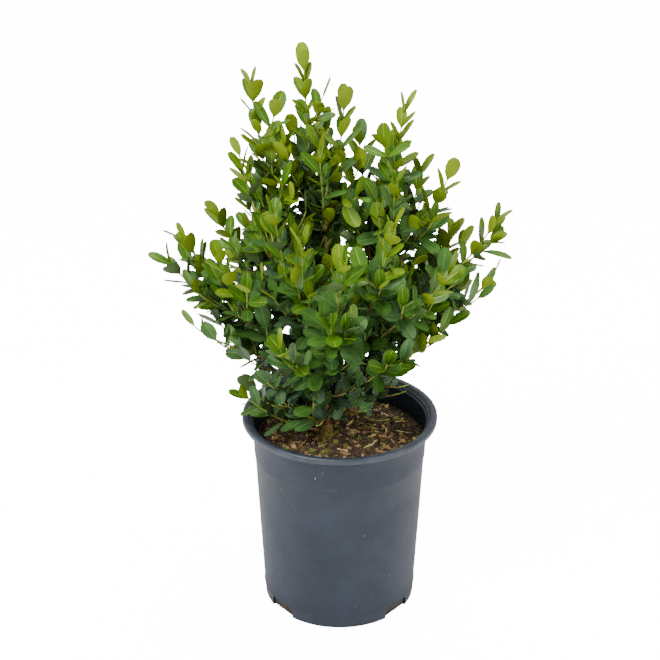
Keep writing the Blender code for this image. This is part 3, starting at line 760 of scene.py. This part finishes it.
def make_mottle():
    """Shared effect: patches of a second colour over a first."""
    group, entry, leave = node_group(
        "mottle",
        [("Colour", "NodeSocketColor", (0.5, 0.5, 0.5, 1.0)),
         ("Second", "NodeSocketColor", (0.2, 0.2, 0.2, 1.0)),
         ("Scale", "NodeSocketFloat", 50.0),
         ("Low", "NodeSocketFloat", 0.4),
         ("High", "NodeSocketFloat", 0.6)],
        [("Colour", "NodeSocketColor"), ("Mask", "NodeSocketFloat")])
    place = group.nodes.new("ShaderNodeTexCoord")
    patch = add_node(group, "ShaderNodeTexNoise", Detail=4.0, Roughness=0.6)
    spread = group.nodes.new("ShaderNodeMapRange")
    group.links.new(place.outputs["Object"], patch.inputs["Vector"])
    group.links.new(entry.outputs["Scale"], patch.inputs["Scale"])
    group.links.new(patch.outputs["Fac"], spread.inputs["Value"])
    group.links.new(entry.outputs["Low"], spread.inputs["From Min"])
    group.links.new(entry.outputs["High"], spread.inputs["From Max"])
    colour = blend_node(group, spread.outputs["Result"], entry.outputs["Colour"], entry.outputs["Second"])
    group.links.new(colour, leave.inputs["Colour"])
    group.links.new(spread.outputs["Result"], leave.inputs["Mask"])
    return group


def make_grain():
    """Shared effect: a height of fine noise, stretched along the vertical or not."""
    group, entry, leave = node_group(
        "grain",
        [("Scale", "NodeSocketFloat", 400.0), ("Stretch", "NodeSocketVector", (1.0, 1.0, 1.0))],
        [("Height", "NodeSocketFloat")])
    place = group.nodes.new("ShaderNodeTexCoord")
    scale = add_node(group, "ShaderNodeVectorMath", operation="MULTIPLY")
    fine = add_node(group, "ShaderNodeTexNoise", Detail=5.0, Roughness=0.65)
    group.links.new(place.outputs["Object"], scale.inputs[0])
    group.links.new(entry.outputs["Stretch"], scale.inputs[1])
    group.links.new(scale.outputs["Vector"], fine.inputs["Vector"])
    group.links.new(entry.outputs["Scale"], fine.inputs["Scale"])
    group.links.new(fine.outputs["Fac"], leave.inputs["Height"])
    return group


MOTTLE = make_mottle()
GRAIN = make_grain()


def place_group(tree, group, **values):
    """A shared effect placed in a material with its own values."""
    node = tree.nodes.new("ShaderNodeGroup")
    node.node_tree = group
    for label, value in values.items():
        node.inputs[label].default_value = value
    return node


def finish(name, colour, roughness, grain, depth, second=None, patches=0.0,
           low=0.38, high=0.62, stretch=(1.0, 1.0, 1.0), specular=0.5):
    """A surface of one colour, or of two in patches, with a fine grain in relief."""
    made = bpy.data.materials.new(name)
    made.use_nodes = True
    tree = made.node_tree
    shader = tree.nodes["Principled BSDF"]
    shader.inputs["Roughness"].default_value = roughness
    shader.inputs["Specular IOR Level"].default_value = specular
    if second is None:
        shader.inputs["Base Color"].default_value = (*colour, 1.0)
    else:
        mottled = place_group(tree, MOTTLE, Colour=(*colour, 1.0), Second=(*second, 1.0),
                              Scale=patches, Low=low, High=high)
        tree.links.new(mottled.outputs["Colour"], shader.inputs["Base Color"])
    fine = place_group(tree, GRAIN, Scale=grain, Stretch=stretch)
    relief = add_node(tree, "ShaderNodeBump", Strength=0.6, Distance=depth)
    tree.links.new(fine.outputs["Height"], relief.inputs["Height"])
    tree.links.new(relief.outputs["Normal"], shader.inputs["Normal"])
    return made


def pot_finish():
    """Grey-black plastic with dust that has settled in patches, fine scuffs and pale specks."""
    made = finish("pot_plastic", linear(34, 40, 51), second=linear(42, 49, 61), patches=34.0, low=0.30,
                  high=0.70, roughness=0.50, grain=900.0, depth=0.00012, specular=0.28)
    tree = made.node_tree
    shader = tree.nodes["Principled BSDF"]
    base = shader.inputs["Base Color"].links[0].from_socket
    scuffs = place_group(tree, GRAIN, Scale=70.0, Stretch=(1.0, 1.0, 9.0))
    thin = add_node(tree, "ShaderNodeMapRange", From_Min=0.60, From_Max=0.72, To_Max=0.55)
    tree.links.new(scuffs.outputs["Height"], thin.inputs["Value"])
    scuffed = blend_node(tree, thin.outputs["Result"], base, linear(58, 66, 79))
    place = tree.nodes.new("ShaderNodeTexCoord")
    speck = add_node(tree, "ShaderNodeTexVoronoi", Scale=150.0)
    small = add_node(tree, "ShaderNodeMapRange", From_Min=0.10, From_Max=0.05, To_Max=0.7)
    tree.links.new(place.outputs["Object"], speck.inputs["Vector"])
    tree.links.new(speck.outputs["Distance"], small.inputs["Value"])
    few = place_group(tree, GRAIN, Scale=40.0)
    some = add_node(tree, "ShaderNodeMapRange", From_Min=0.55, From_Max=0.60)
    tree.links.new(few.outputs["Height"], some.inputs["Value"])
    both = add_node(tree, "ShaderNodeMath", operation="MULTIPLY")
    tree.links.new(small.outputs["Result"], both.inputs[0])
    tree.links.new(some.outputs["Result"], both.inputs[1])
    specked = blend_node(tree, both.outputs["Value"], scuffed, linear(140, 140, 132))
    tree.links.new(specked, shader.inputs["Base Color"])
    return made


LEAF_FINISHES = [
    finish(f"leaf_{name}", colour, second=second, patches=70.0, roughness=0.42, grain=300.0, depth=0.0004,
           specular=0.22)
    for name, (colour, second) in LEAF_TONES.items()
] + [
    finish(f"midrib_{name}", colour, roughness=0.45, grain=300.0, depth=0.0002)
    for name, colour in VEIN_TONES.items()
] + [
    finish(f"leaf_back_{name}", colour, second=tuple(BACK_PATCH_SHADE * c for c in colour),
           patches=70.0, roughness=0.55, grain=300.0, depth=0.0004, specular=0.2)
    for name, colour in BACK_TONES.items()
]
SHOOT_FINISHES = [
    finish("shoot_green", linear(150, 158, 70), second=linear(120, 136, 50), patches=120.0,
           roughness=0.55, grain=500.0, depth=0.0003),
    finish("shoot_tan", linear(160, 134, 74), second=linear(122, 98, 52), patches=120.0,
           roughness=0.70, grain=500.0, depth=0.0005),
    finish("shoot_brown", linear(122, 94, 56), second=linear(84, 64, 40), patches=120.0,
           roughness=0.80, grain=400.0, depth=0.0006),
]
BARK = finish("bark", linear(140, 108, 58), second=linear(88, 66, 38), patches=160.0,
              roughness=0.85, grain=420.0, depth=0.0010, stretch=(1.0, 1.0, 0.25))
MOSSY_BARK = finish("mossy_bark", linear(136, 118, 42), second=linear(72, 62, 30), patches=420.0,
                    roughness=0.95, grain=700.0, depth=0.0016)
SOIL = finish("potting_soil", linear(46, 36, 28), second=linear(78, 60, 42), patches=120.0,
              roughness=0.95, grain=600.0, depth=0.0016)
CHIP = finish("bark_chip", linear(92, 68, 44), second=linear(50, 38, 28), patches=160.0,
              roughness=0.90, grain=500.0, depth=0.0010)
PALE_CHIP = finish("pale_chip", linear(188, 152, 98), second=linear(132, 102, 64), patches=160.0,
                   roughness=0.85, grain=500.0, depth=0.0008)
STRAW = finish("straw", linear(222, 198, 136), second=linear(176, 148, 92), patches=200.0,
               roughness=0.75, grain=600.0, depth=0.0004)
MOSS = finish("moss", linear(122, 130, 34), second=linear(76, 90, 22), patches=300.0,
              roughness=0.95, grain=900.0, depth=0.0012)
PLASTIC = pot_finish()
# Painted highlight: the lip's plastic is painted lighter than the pot's body, standing in for the
# highlights along the rim
PAINTED_HIGHLIGHT_RIM_PLASTIC = finish("rim_plastic", linear(50, 58, 70), second=linear(38, 44, 54), patches=90.0,
                     roughness=0.42, grain=900.0, depth=0.00012)

# Litter: a bit's size, bits to a square metre, seed, least and greatest scale, tilt and finish
LITTER = {
    "bark_chips": ((0.0075, 0.0036, 0.0022), 42000, 3, 0.35, 1.15, 0.45, CHIP),
    "fine_chips": ((0.0034, 0.0022, 0.0014), 90000, 8, 0.40, 1.20, 0.60, CHIP),
    "pale_chips": ((0.0085, 0.0034, 0.0018), 9000, 5, 0.30, 1.15, 0.40, PALE_CHIP),
    "straw_bits": ((0.0180, 0.0013, 0.0009), 6200, 11, 0.40, 1.15, 0.22, STRAW),
    "moss_bits": ((0.0040, 0.0034, 0.0022), 12000, 14, 0.40, 1.30, 0.50, MOSS),
}


# Pot and soil
def turned(name, profile, steps):
    """A mesh turned round the upright axis from a profile of radius and height.

    Its points and faces come in a fixed order, which the strewn litter depends on.
    """
    turns = [2 * math.pi * step / steps for step in range(steps)]
    points = []
    rows = []
    for radius, height in profile:
        first = len(points)
        if radius == 0.0:
            points.append((0.0, 0.0, height))
            rows.append([first] * steps)
        else:
            points += [(radius * math.cos(turn), radius * math.sin(turn), height) for turn in turns]
            rows.append(list(range(first, first + steps)))
    faces = []
    for step in range(steps):
        beside = (step + 1) % steps
        for row, after in zip(rows, rows[1:]):
            corners = (row[beside], after[beside], after[step], row[step])
            faces.append(tuple(dict.fromkeys(corners)))
    mesh = bpy.data.meshes.new(name)
    mesh.from_pydata(points, [], faces)
    shape = bmesh.new()
    shape.from_mesh(mesh)
    bmesh.ops.recalc_face_normals(shape, faces=shape.faces)
    shape.to_mesh(mesh)
    shape.free()
    return mesh


def arc(centre, height, radius, angles):
    """Points of a round in a profile, by its centre, radius and angles in degrees."""
    turns = [math.radians(angle) for angle in angles]
    return [(centre + radius * math.cos(turn), height + radius * math.sin(turn)) for turn in turns]


def pot_profile():
    """Inside from the middle of the base up, over the lip, then down the outside to the middle."""
    lip = RIM_RADIUS - LIP_WIDTH
    under = POT_HEIGHT - LIP_DROP
    inner_top = POT_HEIGHT - INNER_TOP_DROP
    floor_radius = wall_radius(BASE) - WALL
    profile = [(0.0, BASE), (floor_radius - CORNER, BASE), (floor_radius, BASE + CORNER)]
    profile += [(wall_radius(level) - WALL, level) for level in (*LEVELS_INSIDE, inner_top)]
    profile += [(lip + out, POT_HEIGHT - down) for out, down in LIP_INSIDE]
    profile += arc(RIM_RADIUS - LIP_ROLL, POT_HEIGHT - LIP_ROLL, LIP_ROLL, range(90, -1, -15))
    profile += [(RIM_RADIUS - back, under + up) for back, up in LIP_UNDERSIDE]
    back, down = SKIRT_CREASE
    profile.append((RIM_RADIUS - SKIRT - back, POT_HEIGHT - down))
    profile += [(wall_radius(under) + out, POT_HEIGHT - down) for out, down in WALL_CREASE]
    profile.append((wall_radius(under), under - EDGE_MARGIN))
    ring = POT_HEIGHT - RING_DROP
    profile.append((wall_radius(ring), ring + RING_EDGE))
    profile.append((wall_radius(ring) + RING_PROUD, ring))
    profile.append((wall_radius(ring), ring - RING_EDGE))
    profile += [(wall_radius(level), level) for level in LEVELS_ABOVE_STEP]
    profile.append((wall_radius(STEP_HEIGHT - EDGE_MARGIN), STEP_HEIGHT - STEP_FALL))
    profile += [(wall_radius(level), level) for level in LEVELS_BELOW_STEP]
    band = wall_radius(BAND_HEIGHT)
    profile += [(band + BAND_DEPTH, BAND_HEIGHT + BAND_EDGE), (band + BAND_DEPTH, BAND_HEIGHT)]
    profile.append((band, BAND_HEIGHT - BAND_EDGE))
    profile += arc(FOOT_RADIUS - STEP_DEPTH - CORNER, CORNER, CORNER, range(0, -91, -30))
    profile.append((0.0, 0.0))
    return profile


def build_pot():
    """The pot with four arched drain notches through the corner of its foot."""
    pot = show("pot_shell", turned("pot_shell", pot_profile(), POT_STEPS))
    inner = FOOT_RADIUS - NOTCH_DEPTH
    cutters = []
    for index, azimuth in enumerate(NOTCH_AZIMUTHS):
        shape = bmesh.new()
        bmesh.ops.create_cube(shape, size=1.0)
        size = (CUTTER_DEPTH, NOTCH_WIDTH, NOTCH_HEIGHT + NOTCH_OVERRUN)
        middle = (inner + CUTTER_DEPTH / 2, 0.0, NOTCH_HEIGHT / 2 - NOTCH_OVERRUN / 2)
        bmesh.ops.scale(shape, vec=size, verts=shape.verts)
        bmesh.ops.translate(shape, vec=middle, verts=shape.verts)
        top = [e for e in shape.edges if all(v.co.z > NOTCH_HEIGHT / 2 for v in e.verts)]
        across = [e for e in top if abs(e.verts[0].co.y - e.verts[1].co.y) < NOTCH_EDGE_MARGIN]
        bmesh.ops.bevel(shape, geom=across, offset=NOTCH_ARCH, segments=NOTCH_ARCH_STEPS, profile=0.5,
                        affect="EDGES")
        turn = Matrix.Rotation(math.radians(azimuth), 3, "Z")
        bmesh.ops.rotate(shape, cent=(0, 0, 0), matrix=turn, verts=shape.verts)
        mesh = bpy.data.meshes.new(f"notch_{index}")
        shape.to_mesh(mesh)
        shape.free()
        cutter = show(f"notch_{index}", mesh)
        cut = pot.modifiers.new(f"Notch {index}", "BOOLEAN")
        cut.operation = "DIFFERENCE"
        cut.object = cutter
        cutters.append(cutter)
    plain_mesh(pot)
    for cutter in cutters:
        bpy.data.objects.remove(cutter)
    pot.data.materials.clear()
    pot.data.materials.append(PLASTIC)
    pot.data.materials.append(PAINTED_HIGHLIGHT_RIM_PLASTIC)
    # Painted highlight: the lip's faces take the lighter rim plastic, painted pale for the highlights along
    # the rim
    for face in pot.data.polygons:
        face.material_index = 1 if face.center.z > POT_HEIGHT - LIP_DROP - RIM_MARGIN else 0
    pot.data.shade_smooth()
    pot.data.set_sharp_from_angle(angle=math.radians(POT_SHARP_ANGLE))
    return pot


def plain_mesh(made):
    """Takes an object's modifiers into its mesh."""
    graph = bpy.context.evaluated_depsgraph_get()
    mesh = bpy.data.meshes.new_from_object(made.evaluated_get(graph))
    mesh.name = made.name
    made.modifiers.clear()
    made.data = mesh
    return made


def soil_height(x, y):
    """Lumpy height of the soil, a little heaped at the trunk's foot."""
    place = Vector((x, y, 0.0))
    away = math.hypot(x - FOOT_CENTRE.x, y - FOOT_CENTRE.y)
    heap = HEAP_HEIGHT * math.exp(-(away / HEAP_RADIUS) ** 2)
    lumps = noise.fractal(place * LUMP_SCALE, *LUMP_FRACTAL) * LUMP_HEIGHT
    lumps += noise.noise(place * CRUMB_SCALE) * CRUMB_HEIGHT
    return SOIL_HEIGHT + heap + lumps


def build_soil():
    """The filled pot's soil: a lumpy top on a plain turned body."""
    edge = wall_radius(SOIL_HEIGHT) - WALL - SOIL_GAP
    foot = BALL_LOW.z
    profile = [(edge * (index / SOIL_RINGS), SOIL_HEIGHT) for index in range(SOIL_RINGS + 1)]
    profile.append((wall_radius(SOIL_BODY_LEVEL) - WALL - STEP_DEPTH, SOIL_BODY_LEVEL))
    profile += [(wall_radius(foot) - WALL - CORNER, foot), (0.0, foot)]
    mesh = turned("soil", profile, SOIL_STEPS)
    for vertex in mesh.vertices:
        if vertex.co.z > SOIL_HEIGHT - EDGE_MARGIN:
            vertex.co.z = soil_height(vertex.co.x, vertex.co.y)
    mesh.materials.append(SOIL)
    mesh.shade_smooth()
    return show("soil", mesh)


def scatter_tree():
    """A node tree that strews copies of a chip over a surface, with seeded turns and sizes."""
    tree = bpy.data.node_groups.new("strewn", "GeometryNodeTree")
    kinds = {"Geometry": "Geometry", "Chip": "Object", "Density": "Float", "Seed": "Int",
             "Smallest": "Float", "Largest": "Float", "Tilt": "Float", "Finish": "Material"}
    sockets = {}
    for label, kind in kinds.items():
        socket = tree.interface.new_socket(label, in_out="INPUT", socket_type=f"NodeSocket{kind}")
        sockets[label] = socket.identifier
    tree.interface.new_socket("Geometry", in_out="OUTPUT", socket_type="NodeSocketGeometry")
    entry = tree.nodes.new("NodeGroupInput")
    leave = tree.nodes.new("NodeGroupOutput")
    points = tree.nodes.new("GeometryNodeDistributePointsOnFaces")
    chip = tree.nodes.new("GeometryNodeObjectInfo")
    copies = tree.nodes.new("GeometryNodeInstanceOnPoints")
    turn = tree.nodes.new("FunctionNodeRandomValue")
    turn.data_type = "FLOAT_VECTOR"
    low = tree.nodes.new("ShaderNodeCombineXYZ")
    high = tree.nodes.new("ShaderNodeCombineXYZ")
    flip = tree.nodes.new("ShaderNodeMath")
    flip.operation = "MULTIPLY"
    flip.inputs[1].default_value = -1.0
    high.inputs["Z"].default_value = 2 * math.pi
    size = tree.nodes.new("FunctionNodeRandomValue")
    size.data_type = "FLOAT"
    real = tree.nodes.new("GeometryNodeRealizeInstances")
    paint = tree.nodes.new("GeometryNodeSetMaterial")
    link = tree.links.new
    link(entry.outputs["Geometry"], points.inputs["Mesh"])
    link(entry.outputs["Density"], points.inputs["Density"])
    link(entry.outputs["Seed"], points.inputs["Seed"])
    link(entry.outputs["Chip"], chip.inputs["Object"])
    link(points.outputs["Points"], copies.inputs["Points"])
    link(chip.outputs["Geometry"], copies.inputs["Instance"])
    link(entry.outputs["Tilt"], flip.inputs[0])
    for axis in ("X", "Y"):
        link(flip.outputs["Value"], low.inputs[axis])
        link(entry.outputs["Tilt"], high.inputs[axis])
    link(low.outputs["Vector"], turn.inputs["Min"])
    link(high.outputs["Vector"], turn.inputs["Max"])
    link(entry.outputs["Seed"], turn.inputs["Seed"])
    link(turn.outputs["Value"], copies.inputs["Rotation"])
    for label, end in (("Smallest", "Min"), ("Largest", "Max")):
        number = [socket for socket in size.inputs if socket.name == end and socket.type == "VALUE"][0]
        link(entry.outputs[label], number)
    link([socket for socket in size.outputs if socket.type == "VALUE"][0], copies.inputs["Scale"])
    link(copies.outputs["Instances"], real.inputs["Geometry"])
    link(real.outputs["Geometry"], paint.inputs["Geometry"])
    link(entry.outputs["Finish"], paint.inputs["Material"])
    link(paint.outputs["Geometry"], leave.inputs["Geometry"])
    return tree, sockets


def chip_mesh(name, size, seed):
    """A small broken lump, longer than it is wide."""
    shape = bmesh.new()
    bmesh.ops.create_cube(shape, size=1.0)
    bmesh.ops.subdivide_edges(shape, edges=shape.edges[:], cuts=1, use_grid_fill=True)
    for vertex in shape.verts:
        wobble = noise.noise_vector(vertex.co * CHIP_WOBBLE_SCALE + Vector((seed, 0.0, 0.0))) * CHIP_WOBBLE
        vertex.co = Vector((vertex.co.x * size[0], vertex.co.y * size[1], vertex.co.z * size[2]))
        vertex.co += Vector((wobble.x * size[0], wobble.y * size[1], wobble.z * size[2]))
    mesh = bpy.data.meshes.new(name)
    shape.to_mesh(mesh)
    shape.free()
    return show(name, mesh)


def build_litter():
    """Bark chips, straw and moss strewn on the soil, the same each run by the noise's fixed seed."""
    noise.seed_set(CHIP_NOISE_SEED)
    tree, sockets = scatter_tree()
    edge = wall_radius(SOIL_HEIGHT) - WALL - LITTER_MARGIN
    rings_out = [(edge * index / GROUND_RINGS, SOIL_HEIGHT) for index in range(GROUND_RINGS + 1)]
    ground = turned("ground", rings_out, GROUND_STEPS)
    for vertex in ground.vertices:
        vertex.co.z = soil_height(vertex.co.x, vertex.co.y) + LITTER_LIFT
    made = []
    for name, (size, density, seed, smallest, largest, tilt, paint) in LITTER.items():
        chip = chip_mesh(f"{name}_one", size, seed)
        strewn = show(name, ground.copy())
        spread = strewn.modifiers.new("Strewn", "NODES")
        spread.node_group = tree
        values = {"Chip": chip, "Density": float(density), "Seed": seed, "Smallest": smallest,
                  "Largest": largest, "Tilt": tilt, "Finish": paint}
        for label, value in values.items():
            spread[sockets[label]] = value
        strewn.update_tag()
        bpy.context.view_layer.update()
        plain_mesh(strewn)
        bpy.data.objects.remove(chip)
        made.append(strewn)
    bpy.data.meshes.remove(ground)
    return made


# Plant
def bark_relief(place):
    """Fine fissures and swellings of the bark, as a share of the radius."""
    swell = noise.noise(place * SWELL_SCALE) * SWELL_DEPTH
    across = (place.x * FISSURE_SCALE, place.y * FISSURE_SCALE, place.z * FISSURE_SCALE_ALONG)
    fissure = abs(noise.noise(Vector(across))) * FISSURE_DEPTH
    return swell - fissure + BARK_LIFT


def build_limbs(boughs):
    """The trunk and every bough, with the bark's relief."""
    limbs = Bundle("trunk_and_boughs", [BARK, MOSSY_BARK])
    rise = FORK_CENTRE.z - FOOT_CENTRE.z
    foot = FOOT_CENTRE.z - TRUNK_ROOT
    heights = [foot + (rise + TRUNK_ROOT) * index / TRUNK_RINGS for index in range(TRUNK_RINGS + 1)]
    path = [trunk_centre(height) for height in heights]
    radii = [trunk_radius(height) for height in heights]
    path.append(path[-1] + UP * TRUNK_CROWN)
    radii.append(FORK_RADIUS * TRUNK_CROWN_SHARE)
    points, faces = rings(path, radii, TRUNK_SIDES, bark_relief)
    mossy = [1 if points[list(face), 2].mean() < FOOT_CENTRE.z + MOSS_HEIGHT else 0 for face in faces]
    limbs.add(points, faces, mossy)
    for name, path in boughs.items():
        radius = TIERS[BOUGHS[name][0]][2]
        last = len(path) - 1
        radii = [radius + (BOUGH_TIP_RADIUS - radius) * index / last for index in range(last + 1)]
        radii = [value + BOUGH_COLLAR * math.exp(-index / COLLAR_FALL) for index, value in enumerate(radii)]
        points, faces = rings(path, radii, BOUGH_SIDES, bark_relief)
        limbs.add(points, faces, [0] * len(faces))
    return limbs.piece(sharp=BARK_SHARP_ANGLE)


def shoot_tube(path, radius, end_radius, bundle, green):
    """A twig's tube, green near its tip and tan or brown further back."""
    last = len(path) - 1
    radii = [radius + (end_radius - radius) * index / last for index in range(last + 1)]
    points, faces = rings(path, radii, TWIG_SIDES)
    length = path_length(path)
    slots = []
    for index in range(last):
        from_tip = length * (1.0 - (index + 0.5) / last)
        slots += [0 if from_tip < green else (1 if from_tip < green * TAN_SPAN else 2)] * TWIG_SIDES
    slots += [slots[0], slots[-1]]
    bundle.add(points, faces, slots)


def inner_twigs(name, path):
    """Short twigs along a bough, below the masses that it carries."""
    twigs = []
    length = path_length(path)
    for index in range(1, int(length / INNER_SPACING) + 1):
        chance = random.Random(f"{name} inner {index}")
        place, way = along(path, min(index * INNER_SPACING, length * INNER_END))
        level, rise = side_frame(way)
        turn = math.radians(GOLDEN_ANGLE * index + chance.uniform(-INNER_TURN_WOBBLE, INNER_TURN_WOBBLE))
        aside = level * math.cos(turn) + rise * math.sin(turn)
        outward = Vector((place.x, place.y, 0.0)).normalized()
        leave = (way * INNER_ALONG + aside + outward * INNER_OUTWARD).normalized()
        arrive = (leave + UP * INNER_LIFT).normalized()
        run = (leave * LEAVING_SHARE + arrive * ARRIVING_SHARE).normalized()
        end = place + run * INNER_LENGTH * chance.uniform(*INNER_SIZES)
        twigs.append(sweep(place, leave, end, arrive, step=TWIG_STEP))
    return twigs


def build_crown(boughs):
    """Twigs and leaves of every mass, joined by side of the crown."""
    made = []
    crowding = Crowding(LEAF_ROOM)
    dressed = set()
    for side, names in SIDES.items():
        leaves = Bundle(f"leaves_{side}", LEAF_FINISHES)
        twigs = Bundle(f"twigs_{side}", SHOOT_FINISHES)
        for short in names:
            name = f"foliage_{short}"
            low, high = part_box(name)
            low = np.array(tuple(low)) - REACH_ALLOWANCE
            high = np.array(tuple(high)) + REACH_ALLOWANCE
            paths = stem_paths(short, boughs)
            shoot_tube(paths[0], STEM_RADIUS, SHOOT_TIP_RADIUS, twigs, GREEN_WOOD)
            shoots = [(paths[0], FIRST_LEAF + STEM_BARE, VIGOUR["stem"])]
            for path in paths[1:]:
                shoot_tube(path, SIDE_SHOOT_RADIUS, SHOOT_TIP_RADIUS, twigs, GREEN_WOOD)
                shoots.append((path, FIRST_LEAF, VIGOUR["shoot"]))
            main = side_twigs(name, paths, TWIG_SPACING, TWIG_LENGTH)
            fine = side_twigs(name, paths, FINE_SPACING, FINE_LENGTH, first=FIRST_FINE_TWIG)
            for path in main + fine:
                shoot_tube(path, TWIG_RADIUS, SHOOT_TIP_RADIUS, twigs, GREEN_WOOD)
                shoots.append((path, FIRST_LEAF, VIGOUR["twig"]))
            grow_leaves(name, shoots, low, high, leaves, crowding)
        low, high = (np.array(tuple(corner)) for corner in cad_box)
        for home in sorted({MASSES[short][0] for short in names} - {"trunk"}):
            if home in dressed:
                continue
            dressed.add(home)
            shoots = []
            for path in inner_twigs(home, boughs[home]):
                shoot_tube(path, TWIG_RADIUS, SHOOT_TIP_RADIUS, twigs, INNER_GREEN_WOOD)
                shoots.append((path, FIRST_LEAF, VIGOUR["inner"]))
            grow_leaves(f"inner {home}", shoots, low, high, leaves, crowding)
        made.append((leaves.piece(), twigs.piece(), names))
    return made


def finish_pieces():
    """Makes every piece, lets it ride on the plant's body and hides the parts that it stands for."""
    boughs = {name: bough_path(name) for name in BOUGHS}
    pot = build_pot()
    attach(pot, "root")
    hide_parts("pot")
    soil = build_soil()
    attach(soil, "root")
    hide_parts("root_ball")
    for litter in build_litter():
        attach(litter, "root")
    limbs = build_limbs(boughs)
    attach(limbs, "root")
    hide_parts("trunk", *(f"bough_{name}" for name in BOUGHS))
    for leaves, twigs, names in build_crown(boughs):
        for piece in (leaves, twigs):
            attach(piece, "root")
            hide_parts(*(f"foliage_{name}" for name in names))


# Studio
def area_light(name, place, size, energy):
    """A square soft light aimed at the plant's middle."""
    lamp = bpy.data.lights.new(name, "AREA")
    lamp.shape = "SQUARE"
    lamp.size = size
    lamp.energy = energy
    made = bpy.data.objects.new(name, lamp)
    made.location = place
    made.rotation_euler = (Vector(MIDDLE) - Vector(place)).to_track_quat("-Z", "Y").to_euler()
    bpy.context.scene.collection.objects.link(made)


def build_floor():
    """A pale matt floor that looks white to the camera."""
    corners = [(x * FLOOR_HALF, y * FLOOR_HALF, 0.0) for x, y in ((-1, -1), (1, -1), (1, 1), (-1, 1))]
    mesh = bpy.data.meshes.new("floor")
    mesh.from_pydata(corners, [], [(0, 1, 2, 3)])
    paint = bpy.data.materials.new("floor_paint")
    paint.use_nodes = True
    tree = paint.node_tree
    shader = tree.nodes["Principled BSDF"]
    shader.inputs["Base Color"].default_value = (FLOOR_SHADE, FLOOR_SHADE, FLOOR_SHADE, 1.0)
    shader.inputs["Roughness"].default_value = 0.9
    shader.inputs["Specular IOR Level"].default_value = 0.1
    shader.inputs["Emission Color"].default_value = (1.0, 1.0, 1.0, 1.0)
    path = tree.nodes.new("ShaderNodeLightPath")
    glow = add_node(tree, "ShaderNodeMath", operation="MULTIPLY")
    glow.inputs[1].default_value = FLOOR_GLOW
    tree.links.new(path.outputs["Is Camera Ray"], glow.inputs[0])
    tree.links.new(glow.outputs["Value"], shader.inputs["Emission Strength"])
    mesh.materials.append(paint)
    floor = show("floor", mesh)
    floor.location.z = -FLOOR_DROP


def build_studio():
    """The floor, soft light from above and in front, and the camera."""
    build_floor()
    world = bpy.data.worlds.new("studio")
    world.use_nodes = True
    sky = world.node_tree.nodes["Background"]
    sky.inputs["Color"].default_value = (1.0, 1.0, 1.0, 1.0)
    sky.inputs["Strength"].default_value = SKY_STRENGTH
    bpy.context.scene.world = world
    for name, (place, size, energy) in LIGHTS.items():
        area_light(name, place, size, energy)

    camera_data = bpy.data.cameras.new("camera")
    camera_data.lens = CAMERA_LENS
    camera_data.sensor_width = CAMERA_SENSOR
    camera = bpy.data.objects.new("camera", camera_data)
    camera.location = CAMERA_PLACE
    camera.rotation_euler = (math.radians(90.0 - CAMERA_PITCH), 0.0, math.radians(CAMERA_YAW))
    bpy.context.scene.collection.objects.link(camera)
    bpy.context.scene.camera = camera


finish_pieces()
build_studio()
